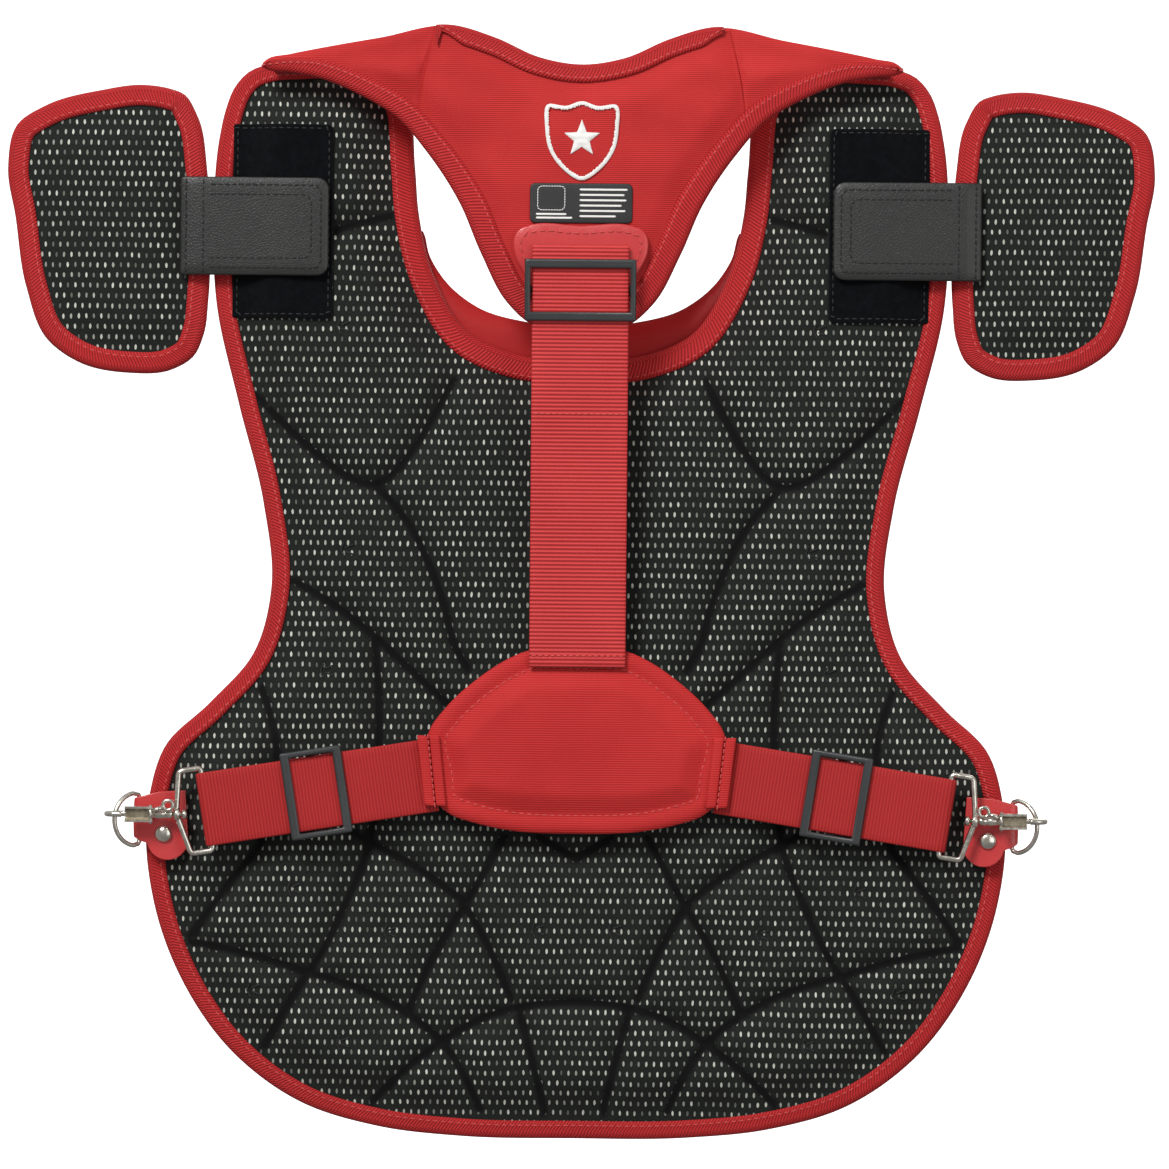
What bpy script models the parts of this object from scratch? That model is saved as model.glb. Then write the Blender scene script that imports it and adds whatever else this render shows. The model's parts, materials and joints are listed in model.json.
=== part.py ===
"""Catcher's chest protector: a padded body with shoulder wings, a Y-shaped back
harness and two clipped waist straps.

Lengths are in millimetres and become metres when a mesh is made. +Z is up, the
wearer stands on the -Y side, and the origin is midway between the shoulder tops.
Each right-hand piece is drawn at positive x and mirrored for the left."""

from math import atan2, cos, hypot, pi, radians, sin

import bmesh
import bpy
from mathutils import Matrix, Vector

MM = 0.001

# Body panel
BEND_RADIUS = 1100.0  # the panel wraps round the chest on this radius
SHELL = 1.6  # liner and cover thickness
RIM = 2.7  # outer half thickness where the two shells meet in the binding
PUFF = 12.0  # outer half thickness over the foam
RIM_WIDTH = 10.0
SHOULDER_OF_PUFF = 24.0  # distance over which the rim swells to the full puff
FOAM_RIM, FOAM_TOP, FOAM_CHAMFER = 2.0, 6.0, 9.0
GRID = 23.0  # pitch of the body's facets
SMALL_GRID = 14.0  # and of the smaller pads'

# Tape bound over an edge
TAPE = 0.9
BODY_TAPE_HALF = 4.1
BODY_TAPE_WIDTH = 9.0

# Harness
YOKE_Y = -31.0
YOKE_RIM, YOKE_PUFF = 2.2, 5.0
YOKE_TAPE_HALF, YOKE_TAPE_WIDTH = 3.7, 6.5
WEB = 1.8  # webbing thickness
CENTRE_WEB_WIDTH, WAIST_WEB_WIDTH = 50.0, 38.0
PAD_Y = -24.0

# Wings
WING_Y, WING_SLOPE = -17.0, -0.06
WING_RIM, WING_PUFF = 2.8, 6.5
WING_TAPE_WIDTH = 11.0
WING_HINGE_X = 197.7
WING_STRAP_Y = -27.6

# Waist hardware
WIRE = 1.35  # wire radius of rings and loops
HOOK_Y, HOOK_Z = -39.1, -372.5
RING_BAR_X, RING_BAR_Y, RING_Z = 226.0, -30.0, -375.6

BODY_EDGE = [
    (0, -542), (60, -541), (102, -536), (143, -523), (178, -497), (205, -458),
    (219, -419), (222, -365), (214, -338), (191, -315), (168.7, -289), (160, -256),
    (164.3, -211), (177.6, -159), (189.5, -107), (191.4, -60), (188, -20), (179, 7),
    (160, 17), (130, 20), (106, 15), (92, -1), (87, -35), (85, -58), (76, -93),
    (58, -121), (33, -132), (0, -134.5),
]
COLLAR = [
    (0, -142), (36, -139), (62, -127), (81, -98), (90, -73), (84, -67), (79, -81),
    (70.5, -94), (54, -107), (25.5, -115), (0, -118),
]
YOKE_EDGE = [
    (0, -117), (26, -117), (37.4, -107), (51.7, -81), (63, -55), (80, -29),
    (96, -11), (115, 0.5), (136, 9), (155, 10), (172, 6), (183, 6), (176, 13.5),
    (160, 18), (135, 25), (105, 31), (68, 37.5), (45, 31), (22, 21), (0, 17.5),
]
YOKE_PLATE = [
    (0, -116), (26, -115.5), (36.5, -106), (50.8, -80), (62, -54.5), (79, -28.5),
    (84, -21), (74.5, 35), (66, 36), (45, 29.5), (22, 19.8), (0, 16.3),
]
SHOULDER_PAD = [
    (86, -20), (96, -9.5), (115, 2), (136, 10.3), (155, 11.3), (171, 8), (176, 9.5),
    (172, 13.2), (160, 16.6), (135, 23.5), (105, 29.6), (77, 34),
]
WING_EDGE = [
    (212, 3.5), (208, 2), (200, -10), (195, -36), (193.6, -60), (193.6, -105),
    (196, -124), (201, -135), (212, -142), (235, -144), (260, -139), (277, -127),
    (288, -100), (294, -63), (298, -38), (293, -15), (279, -5.5), (250, 3),
    (228, 6),
]
PAD_EDGE = [
    (0, -384), (40, -381.5), (68, -375), (79, -350), (78, -334), (66, -314),
    (46, -298), (27, -287), (0, -285),
]

# One foam cell to each quilted area, at least 19 mm inside the body's edge
SIDE_CELLS = {
    "shoulder_foam": [
        (112, -8), (158, -6), (169, -20), (171, -60), (128, -62), (112, -56),
        (109, -30),
    ],
    "chest_foam": [
        (112, -72), (128, -76), (171, -76), (169, -110), (156, -148), (106, -190),
        (78, -147), (97, -116), (106, -95),
    ],
    "side_foam": [
        (130, -191), (108, -208), (90, -226), (81, -246), (83, -266), (100, -274),
        (122, -262), (139, -248), (142, -215), (146, -194),
    ],
    "waist_foam": [
        (110, -290), (122, -279), (140, -272), (146, -292), (160, -320), (182, -344),
        (198, -362), (199, -382), (194, -402), (180, -402), (164, -386), (118, -376),
        (111, -340),
    ],
    "hip_foam": [
        (112, -384), (162, -393), (178, -413), (188, -431), (160, -443), (112, -458),
        (88, -466), (66, -424), (86, -404),
    ],
}
CENTRE_CELLS = {
    "sternum_foam": [
        (0, -300), (54, -298), (62, -288), (73, -246), (84, -224), (99, -204),
        (62, -152), (40, -156), (0, -158),
    ],
    "belly_foam": [
        (0, -464), (28, -464), (40, -440), (60, -412), (100, -376), (98, -345),
        (60, -308), (0, -307),
    ],
    "hem_foam": [(0, -521), (60, -519), (82, -513), (72, -500), (52, -488), (28, -482), (0, -481)],
}
HEART_PLATE = [(0, -252), (34, -246), (40, -215), (34, -180), (0, -172)]


def clear_scene():
    for item in list(bpy.data.objects):
        bpy.data.objects.remove(item, do_unlink=True)


def material(name, color, roughness, metallic=0.0):
    made = bpy.data.materials.get(name)
    if made is None:
        made = bpy.data.materials.new(name)
        made.use_nodes = True
        shader = made.node_tree.nodes["Principled BSDF"]
        shader.inputs["Base Color"].default_value = (*color, 1.0)
        shader.inputs["Roughness"].default_value = roughness
        shader.inputs["Metallic"].default_value = metallic
    return made


RED_CLOTH = ("red_cloth", (0.44, 0.04, 0.037), 0.75)
RED_TAPE = ("red_tape", (0.41, 0.036, 0.036), 0.8)
RED_WEB = ("red_webbing", (0.42, 0.05, 0.05), 0.7)
RED_LEATHER = ("red_leather", (0.52, 0.07, 0.07), 0.35)
MESH_LINER = ("mesh_liner", (0.045, 0.05, 0.045), 0.85)
BLACK_VINYL = ("black_vinyl", (0.05, 0.052, 0.05), 0.5)
LOOP_FABRIC = ("loop_fabric", (0.008, 0.01, 0.014), 0.95)
DARK_PLASTIC = ("dark_plastic", (0.06, 0.06, 0.06), 0.4)
FOAM = ("foam", (0.12, 0.12, 0.12), 0.9)
PLATE_PLASTIC = ("plate_plastic", (0.6, 0.6, 0.58), 0.5)
NICKEL = ("nickel", (0.6, 0.57, 0.52), 0.25, 1.0)


# Outlines, as lists of (x, z)


def mirrored(half):
    """A closed outline from its right half, which runs from bottom to top."""
    left = [(-x, z) for x, z in reversed(half) if x > 0]
    return half + left


def smooth(points, spacing):
    """A closed curve through the points, with a point about every spacing."""
    count = len(points)
    result = []
    for i in range(count):
        before, start, end, after = (Vector(points[(i + k) % count]) for k in (-1, 0, 1, 2))
        a, b, c = (start - before).length, (end - start).length, (after - end).length
        leave = ((end - start) / b * a + (start - before) / a * b) / (a + b) * b
        arrive = ((after - end) / c * b + (end - start) / b * c) / (b + c) * b
        steps = max(1, round(b / spacing))
        for k in range(steps):
            t = k / steps
            result.append(
                tuple(
                    start * (2 * t**3 - 3 * t**2 + 1)
                    + leave * (t**3 - 2 * t**2 + t)
                    + end * (3 * t**2 - 2 * t**3)
                    + arrive * (t**3 - t**2)
                )
            )
    return result


def divided(points, spacing):
    """The straight-sided loop with a point about every spacing."""
    result = []
    for start, end in zip(points, points[1:] + points[:1]):
        a, b = Vector(start), Vector(end)
        steps = max(1, round((b - a).length / spacing))
        result += [tuple(a.lerp(b, k / steps)) for k in range(steps)]
    return result


def anticlockwise(loop):
    pairs = zip(loop, loop[1:] + loop[:1])
    area = sum(a[0] * b[1] - b[0] * a[1] for a, b in pairs)
    return loop if area > 0 else loop[::-1]


def inset(loop, distance):
    """The anticlockwise loop moved inwards; distance is a number or a function of (x, z)."""
    result = []
    for i, (x, z) in enumerate(loop):
        after, before = loop[(i + 1) % len(loop)], loop[i - 1]
        along = Vector((after[0] - before[0], after[1] - before[1])).normalized()
        step = distance(x, z) if callable(distance) else distance
        result.append((x - along.y * step, z + along.x * step))
    return result


def edge_distance(x, z, loop):
    """Distance from a point to the nearest side of the loop."""
    nearest = 1e9
    for (ax, az), (bx, bz) in zip(loop, loop[1:] + loop[:1]):
        dx, dz = bx - ax, bz - az
        t = max(0.0, min(1.0, ((x - ax) * dx + (z - az) * dz) / (dx * dx + dz * dz)))
        nearest = min(nearest, (x - ax - t * dx) ** 2 + (z - az - t * dz) ** 2)
    return nearest**0.5


def rectangle(low_x, high_x, low_z, high_z):
    return [(low_x, low_z), (high_x, low_z), (high_x, high_z), (low_x, high_z)]


BODY_LOOP = smooth(mirrored(BODY_EDGE), 24)
YOKE_LOOP = smooth(mirrored(YOKE_EDGE), 18)
WING_LOOP = anticlockwise(smooth(WING_EDGE, 16))
PAD_LOOP = smooth(mirrored(PAD_EDGE), 16)


# Surfaces, as y over (x, z)


def swell(distance, low, high, start, width):
    t = max(0.0, min(1.0, (distance - start) / width))
    return low + (high - low) * t * t * (3 - 2 * t)


def panel_y(x):
    return -x * x / (2 * BEND_RADIUS)


def body_half(x, z):
    return swell(edge_distance(x, z, BODY_LOOP), RIM, PUFF, RIM_WIDTH, SHOULDER_OF_PUFF)


def yoke_half(x, z):
    return swell(edge_distance(x, z, YOKE_LOOP), YOKE_RIM, YOKE_PUFF, 12, 16)


def wing_y(x):
    return WING_Y + WING_SLOPE * (abs(x) - 200)


def wing_half(x, z):
    return swell(edge_distance(abs(x), z, WING_LOOP), WING_RIM, WING_PUFF, 12, 20)


def pad_half(x, z):
    return swell(edge_distance(x, z, PAD_LOOP), 2.6, 6.0, 9, 14)


# Meshes


def add(name, mesh, look, side=1, origin=(0, 0, 0)):
    """Turns a bmesh in millimetres into an object; side -1 mirrors it in x."""
    if side < 0:
        bmesh.ops.scale(mesh, vec=(-1, 1, 1), verts=mesh.verts)
        origin = (-origin[0], origin[1], origin[2])
    bmesh.ops.translate(mesh, vec=-Vector(origin), verts=mesh.verts)
    bmesh.ops.scale(mesh, vec=(MM, MM, MM), verts=mesh.verts)
    bmesh.ops.recalc_face_normals(mesh, faces=mesh.faces)
    data = bpy.data.meshes.new(name)
    mesh.to_mesh(data)
    mesh.free()
    data.shade_smooth()
    data.set_sharp_from_angle(angle=radians(40))
    data.materials.append(material(*look))
    made = bpy.data.objects.new(name, data)
    made.location = Vector(origin) * MM
    bpy.context.scene.collection.objects.link(made)
    return made


def slab(loop, front, back, pitch=0.0, rings=()):
    """A solid between two surfaces over an outline, with optional inner rings and grid."""
    mesh = bmesh.new()
    loop = anticlockwise(list(loop))
    loops = [loop] + [inset(loop, distance) for distance in rings]
    verts = [[mesh.verts.new((x, 0, z)) for x, z in ring] for ring in loops]
    for outer, inner in zip(verts, verts[1:]):
        for i in range(len(loop)):
            mesh.faces.new((outer[i - 1], outer[i], inner[i], inner[i - 1]))
    mesh.faces.new(verts[-1])
    if pitch:
        slice_core(mesh, pitch)
    bmesh.ops.triangulate(mesh, faces=mesh.faces)
    thicken(mesh, front, back)
    return mesh


def slice_core(mesh, pitch):
    """Cuts the face made last along a grid whose lines sit half a pitch off the axes."""
    mesh.faces.ensure_lookup_table()
    core = [mesh.faces[-1]]
    for axis in (0, 2):
        low = min(v.co[axis] for v in mesh.verts)
        high = max(v.co[axis] for v in mesh.verts)
        line = (int(low / pitch) - 1 + 0.5) * pitch
        while line < high:
            if line > low:
                place, normal = Vector(), Vector()
                place[axis], normal[axis] = line, 1.0
                edges = {e for f in core for e in f.edges}
                points = {v for f in core for v in f.verts}
                cut = bmesh.ops.bisect_plane(
                    mesh, geom=[*points, *edges, *core], plane_co=place, plane_no=normal, dist=1e-4
                )
                core = [g for g in cut["geom"] if isinstance(g, bmesh.types.BMFace)]
            line += pitch


def thicken(mesh, front, back):
    flat, faces = list(mesh.verts), list(mesh.faces)
    rim = [e for e in mesh.edges if e.is_boundary]
    twin = {v: mesh.verts.new(v.co) for v in flat}
    for face in faces:
        mesh.faces.new([twin[v] for v in reversed(face.verts)])
    for edge in rim:
        a, b = edge.verts
        mesh.faces.new((a, b, twin[b], twin[a]))
    for vert in flat:
        x, z = vert.co.x, vert.co.z
        vert.co.y = front(x, z)
        twin[vert].co.y = back(x, z)


def prism(outline, axis, low, high):
    """A solid drawn in the plane across the axis, as (x, y) along Z or (y, z) along X."""
    mesh = bmesh.new()

    def place(point, height):
        return (*point, height) if axis == "Z" else (height, *point)

    ends = [[mesh.verts.new(place(p, h)) for p in outline] for h in (low, high)]
    for i in range(len(outline)):
        mesh.faces.new((ends[0][i - 1], ends[0][i], ends[1][i], ends[1][i - 1]))
    mesh.faces.new(ends[0])
    mesh.faces.new(ends[1])
    bmesh.ops.triangulate(mesh, faces=mesh.faces)
    return mesh


def bound_edge(loop, centre_y, half, width):
    """Tape folded over the edge of a panel: a U section run round a closed loop."""
    mesh = bmesh.new()
    lines = [inset(loop, 0), inset(loop, TAPE), inset(loop, width)]
    section = [
        (0, -half), (2, -half), (2, TAPE - half), (1, TAPE - half),
        (1, half - TAPE), (2, half - TAPE), (2, half), (0, half),
    ]
    rows = []
    for i in range(len(loop)):
        row = []
        for line, depth in section:
            x, z = lines[line][i]
            row.append(mesh.verts.new((x, centre_y(x) + depth, z)))
        rows.append(row)
    for i, row in enumerate(rows):
        for k in range(len(section)):
            mesh.faces.new((rows[i - 1][k - 1], row[k - 1], row[k], rows[i - 1][k]))
    return mesh


def tube(points, radii, sides=8, closed=False):
    """Round wire along a path; radii is one number or one for each point."""
    mesh = bmesh.new()
    points = [Vector(p) for p in points]
    count = len(points)
    radii = radii if isinstance(radii, list) else [radii] * count
    rings, across = [], None
    for i, point in enumerate(points):
        after = points[(i + 1) % count] if closed or i < count - 1 else point
        before = points[i - 1] if closed or i else point
        along = (after - before).normalized()
        if across is None:
            across = along.orthogonal().normalized()
        across = (across - along * across.dot(along)).normalized()
        other = along.cross(across)
        turns = [2 * pi * k / sides for k in range(sides)]
        rings.append(
            [mesh.verts.new(point + radii[i] * (across * cos(t) + other * sin(t))) for t in turns]
        )
    for i in range(0 if closed else 1, count):
        for k in range(sides):
            mesh.faces.new((rings[i - 1][k - 1], rings[i][k - 1], rings[i][k], rings[i - 1][k]))
    if not closed:
        mesh.faces.new(rings[0])
        mesh.faces.new(rings[-1])
    return mesh


def carried(mesh, frame):
    bmesh.ops.transform(mesh, matrix=frame, verts=mesh.verts)
    return mesh


def strap_frame(start, along):
    """Axes of a strap: X along it, Z across it and -Y on the wearer's side."""
    u = Vector(along).normalized()
    across = Vector((-u.z, 0, u.x)).normalized() if abs(u.x) > abs(u.z) else Vector((1, 0, 0))
    depth = across.cross(u)
    return Matrix(
        ((u.x, depth.x, across.x, start[0]),
         (u.y, depth.y, across.y, start[1]),
         (u.z, depth.z, across.z, start[2]),
         (0, 0, 0, 1))
    )  # fmt: skip


def flat(value):
    return lambda x, z: value


def offset(surface, step):
    return lambda x, z: surface(x, z) + step


def arc(centre, radius, start, end, steps):
    angles = [radians(start + (end - start) * k / steps) for k in range(steps + 1)]
    return [(centre[0] + radius * cos(a), centre[1] + radius * sin(a)) for a in angles]


def boolean(target, tool, operation):
    tool.hide_render = True
    tool.display_type = "WIRE"
    change = target.modifiers.new(operation.lower(), "BOOLEAN")
    change.operation = operation
    change.object = tool


# Body


def make_body():
    def liner(x, z):
        return panel_y(x) - body_half(x, z)

    def cover(x, z):
        return panel_y(x) + body_half(x, z)

    edge = inset(BODY_LOOP, 1.5)
    rings = (8.5,)
    mesh = slab(edge, liner, offset(liner, SHELL), GRID, rings)
    add("chest_liner", mesh, MESH_LINER)
    mesh = slab(edge, offset(cover, -SHELL), cover, GRID, rings)
    add("chest_cover", mesh, RED_CLOTH)
    add("chest_binding", bound_edge(BODY_LOOP, panel_y, BODY_TAPE_HALF, BODY_TAPE_WIDTH), RED_TAPE)
    collar = smooth(mirrored(COLLAR), 12)
    mesh = slab(collar, lambda x, z: panel_y(x) + 4.8, lambda x, z: panel_y(x) + 10.5)
    add("neck_collar_pad", mesh, RED_CLOTH)
    for name, outline in CENTRE_CELLS.items():
        add(name, foam_cell(mirrored(outline)), FOAM)
    mesh = slab(smooth(mirrored(HEART_PLATE), 20), flat(8.3), flat(9.6))
    add("heart_plate", mesh, PLATE_PLASTIC)
    for side, sign in (("left", -1), ("right", 1)):
        for name, outline in SIDE_CELLS.items():
            add(f"{name}_{side}", foam_cell(outline), FOAM, sign)
        make_loop_patch(side, sign, liner)
        make_ring_tab(side, sign)
        tape = [(-27.0, 4), (-17.4, 4), (-17.4, 15), (-27.0, 15)]
        add(f"shoulder_seam_tape_{side}", prism(tape, "X", 142, 164), RED_TAPE, sign)


def foam_cell(outline):
    """A chamfered block of foam, thin at its edge and full in the middle."""
    loop = anticlockwise(divided(outline, 18))

    def half(x, z):
        return swell(edge_distance(x, z, loop), FOAM_RIM, FOAM_TOP, 0, FOAM_CHAMFER)

    def front(x, z):
        return panel_y(x) - half(x, z)

    def back(x, z):
        return panel_y(x) + half(x, z)

    return slab(loop, front, back, rings=(FOAM_CHAMFER,))


def make_loop_patch(side, sign, liner):
    def front(x, z):
        return liner(x, z) - 2.1

    def back(x, z):
        return liner(x, z) - 0.9

    patch = slab(rectangle(129, 177, -115, -19), front, back, 16)
    add(f"loop_patch_{side}", patch, LOOP_FABRIC, sign)


def make_ring_tab(side, sign):
    """Leather folded round the ring's straight bar, and the rivet that closes it."""
    outer = arc((RING_BAR_X, RING_BAR_Y), 3.0, 90, -90, 6)
    inner = arc((RING_BAR_X, RING_BAR_Y), 1.65, -90, 90, 6)
    fold = [(203, -27.0), *outer, (218, -32.9), (203, -30.6), (203, -29.2), *inner, (203, -28.5)]
    add(f"ring_tab_{side}", prism(fold, "Z", -386.6, -364.6), RED_LEATHER, sign)
    cap = [(213.5, -34.8, -382.2), (213.5, -34.2, -382.2), (213.5, -33.3, -382.2)]
    add(f"ring_rivet_{side}", tube(cap, [2.6, 4.2, 4.2], 12), NICKEL, sign)


# Wings


def make_wings():
    def front(x, z):
        return wing_y(x) - wing_half(x, z)

    def back(x, z):
        return wing_y(x) + wing_half(x, z)

    origin = (WING_HINGE_X, WING_STRAP_Y, -67)
    for side, sign in (("left", -1), ("right", 1)):
        pad = slab(inset(WING_LOOP, 1.5), front, back, 16, rings=(10.0,))
        add(f"wing_pad_{side}", pad, MESH_LINER, sign, origin)
        tape = bound_edge(WING_LOOP, wing_y, BODY_TAPE_HALF, WING_TAPE_WIDTH)
        add(f"wing_binding_{side}", tape, RED_TAPE, sign, origin)
        low, high = flat(WING_STRAP_Y), flat(WING_STRAP_Y + 2)
        end = slab(rectangle(198, 207, -93, -42), low, high)
        add(f"wing_strap_end_{side}", end, BLACK_VINYL, sign, origin)
        strap = [(131, -88), (136, -93), (197.4, -93), (197.4, -42), (136, -42), (131, -47)]
        add(f"wing_strap_{side}", slab(strap, low, high), BLACK_VINYL, sign)


# Harness

CENTRE_START = (0, -42.6, -77.0)
CENTRE_END = (0, -28.5, -295.0)
CENTRE_BUCKLE = 23.0  # distance of the tri-glide along the webbing
HARNESS_HINGE = (0, -20, 12)


def make_harness():
    def front(x, z):
        return YOKE_Y - yoke_half(x, z)

    def back(x, z):
        return YOKE_Y + yoke_half(x, z)

    def pad_front(x, z):
        return PAD_Y - pad_half(x, z)

    def pad_back(x, z):
        return PAD_Y + pad_half(x, z)

    at = {"origin": HARNESS_HINGE}
    plate = inset(divided(mirrored(YOKE_PLATE), 12), 0.7)
    add("yoke_plate", slab(plate, front, back, SMALL_GRID), RED_CLOTH, **at)
    tape = bound_edge(YOKE_LOOP, flat_y, YOKE_TAPE_HALF, YOKE_TAPE_WIDTH)
    add("yoke_binding", tape, RED_TAPE, **at)
    tab = mirrored([(0, -96), (25, -95), (34.6, -80), (34.6, -72), (29, -66.6), (0, -66.6)])

    def tab_front(x, z):
        return front(x, z) - 2.8

    def tab_back(x, z):
        return front(x, z) - 1.1

    add("anchor_tab", slab(tab, tab_front, tab_back, SMALL_GRID), RED_LEATHER, **at)
    add("back_pad", slab(PAD_LOOP, pad_front, pad_back, SMALL_GRID), RED_CLOTH, **at)
    for side, sign in (("left", -1), ("right", 1)):
        edge = inset(anticlockwise(divided(SHOULDER_PAD, 12)), 0.7)
        arm = slab(edge, front, back, SMALL_GRID)
        add(f"shoulder_pad_{side}", arm, RED_CLOTH, sign, HARNESS_HINGE)
    along = Vector(CENTRE_END) - Vector(CENTRE_START)
    frame = strap_frame(CENTRE_START, along)
    half = CENTRE_WEB_WIDTH / 2
    mesh = slab(rectangle(0, along.length, -half, half), flat(-WEB / 2), flat(WEB / 2))
    add("centre_webbing", carried(mesh, frame), RED_WEB, **at)
    tail = slab(rectangle(43, 90, -half, half), flat(4.2), flat(4.2 + WEB))
    add("centre_webbing_tail", carried(tail, frame), RED_WEB, **at)
    place = frame @ Vector((CENTRE_BUCKLE, 0, 0))
    tri_glide("centre_tri_glide", frame, CENTRE_BUCKLE, 16, CENTRE_WEB_WIDTH, 1, place)


def flat_y(x):
    return YOKE_Y


def blocks(cuts, filled):
    """The outside of the filled cells of a grid; cuts are its x, y and z lines."""
    mesh = bmesh.new()
    verts = {}

    def corner(*place):
        if place not in verts:
            verts[place] = mesh.verts.new([cuts[k][place[k]] for k in range(3)])
        return verts[place]

    for cell in filled:
        for axis in range(3):
            for step in (0, 1):
                beside = list(cell)
                beside[axis] += 2 * step - 1
                if tuple(beside) in filled:
                    continue
                face = []
                for one, two in ((0, 0), (1, 0), (1, 1), (0, 1)):
                    place = list(cell)
                    place[axis] += step
                    place[(axis + 1) % 3] += one
                    place[(axis + 2) % 3] += two
                    face.append(corner(*place))
                mesh.faces.new(face)
    return mesh


def tri_glide(name, frame, centre, half_length, web_width, side, origin):
    """A slider: two bars in front of the webbing and one behind it, joined by two rails."""
    inner = web_width / 2 + 0.8
    outer = inner + 3.0
    bar, half_bar = 4.6, 2.3
    along = [-half_length, bar - half_length, -half_bar, half_bar, half_length - bar, half_length]
    cuts = ([centre + x for x in along], [-4.0, -1.3, 1.3, 3.7], [-outer, -inner, inner, outer])
    middle = 2
    rails = {(x, 0, z) for x in range(5) for z in (0, 2)}
    bars = {(x, 0, 1) for x in (0, 4)}
    bridge = {(middle, y, z) for y in (1, 2) for z in (0, 2)} | {(middle, 2, 1)}
    mesh = carried(blocks(cuts, rails | bars | bridge), frame)
    add(name, mesh, DARK_PLASTIC, side, origin)


# Waist straps

WAIST_START = (79.0, -24.1, -352.3)
WAIST_ALONG = (119.0, -16.4, -18.7)
LOOP_BAR = 113.9  # distance of the wire loop's straight bar along the strap
WAIST_BUCKLE = 57.2
FOLD_DEPTH = WEB / 2 + 0.3 + WIRE


def make_waist():
    frame = strap_frame(WAIST_START, WAIST_ALONG)
    half = WAIST_WEB_WIDTH / 2
    low, high = flat(-WEB / 2), flat(WEB / 2)
    for side, sign in (("left", -1), ("right", 1)):
        inner = slab(rectangle(1.5, 40.6, -half, half), low, high)
        add(f"waist_webbing_inner_{side}", carried(inner, frame), RED_WEB, sign, HARNESS_HINGE)
        outer = slab(rectangle(41.0, LOOP_BAR - 7, -half, half), low, high)
        add(f"waist_webbing_{side}", carried(outer, frame), RED_WEB, sign)
        big = arc((LOOP_BAR, FOLD_DEPTH), FOLD_DEPTH + WEB / 2, 90, -90, 8)
        small = arc((LOOP_BAR, FOLD_DEPTH), FOLD_DEPTH - WEB / 2, -90, 90, 8)
        back_low = 2 * FOLD_DEPTH - WEB / 2
        fold = [
            (30, back_low + WEB), *big, (LOOP_BAR - 6.6, -WEB / 2),
            (LOOP_BAR - 6.6, WEB / 2), *small, (30, back_low),
        ]  # fmt: skip
        mesh = carried(prism(fold, "Z", -half, half), frame)
        add(f"waist_webbing_return_{side}", mesh, RED_WEB, sign)
        place = frame @ Vector((WAIST_BUCKLE, 0, 0))
        tri_glide(f"waist_tri_glide_{side}", frame, WAIST_BUCKLE, 16, WAIST_WEB_WIDTH, sign, place)
        make_wire_loop(side, sign, frame)
        make_hook(side, sign)
        make_ring(side, sign)


def make_wire_loop(side, sign, frame):
    """The wire that the strap folds round, with a drilled boss for the hook's swivel pin."""
    corners = [(0, 21.5), (11.4, 21.5), (16, 0), (11.4, -21.5), (0, -21.5)]
    path = []
    for (ax, az), (bx, bz) in zip(corners, corners[1:] + corners[:1]):
        corner = 1.6 / Vector((bx - ax, bz - az)).length
        for t in (corner, 0.5, 1 - corner):
            path.append((LOOP_BAR + ax + t * (bx - ax), FOLD_DEPTH, az + t * (bz - az)))
    loop = add(f"wire_loop_{side}", carried(tube(path, WIRE, 8, True), frame), NICKEL, sign)
    boss = tube([(204.9, HOOK_Y, HOOK_Z), (207.4, HOOK_Y, HOOK_Z)], 3.6, 12)
    boolean(loop, add(f"wire_loop_{side}_boss", boss, NICKEL, sign), "UNION")
    drill = tube([(200, HOOK_Y, HOOK_Z), (212, HOOK_Y, HOOK_Z)], 1.5, 10)
    boolean(loop, add(f"wire_loop_{side}_drill", drill, NICKEL, sign), "DIFFERENCE")


def make_hook(side, sign):
    """Swivel head, pin and barrel in line, then the spine that curls round the ring."""
    stations = [
        (201.2, 2.4), (203.4, 2.5), (203.6, 1.1), (208.2, 1.1), (208.5, 2.3), (217.0, 2.3),
    ]  # fmt: skip
    path = [(x, HOOK_Y, HOOK_Z) for x, _ in stations]
    radii = [r for _, r in stations]
    spine = 4.4  # distance of the spine from the hook's axis
    path += [(219.2, HOOK_Y + 1.6, HOOK_Z), (221.5, HOOK_Y + 4.0, HOOK_Z)]
    path += [(x, HOOK_Y + spine, HOOK_Z) for x in (224.5, 231, 237.5)]
    nose = arc((237.6, HOOK_Y), spine, 70, -90, 8)
    path += [(x, y, HOOK_Z) for x, y in nose] + [(234.6, HOOK_Y - spine, HOOK_Z)]
    radii += [1.6, 1.3] + [1.15] * (len(path) - len(radii) - 2)
    axis = (210, HOOK_Y, HOOK_Z)
    add(f"snap_hook_{side}", tube(path, radii, 8), NICKEL, sign, axis)
    make_gate(side, sign)


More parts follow.
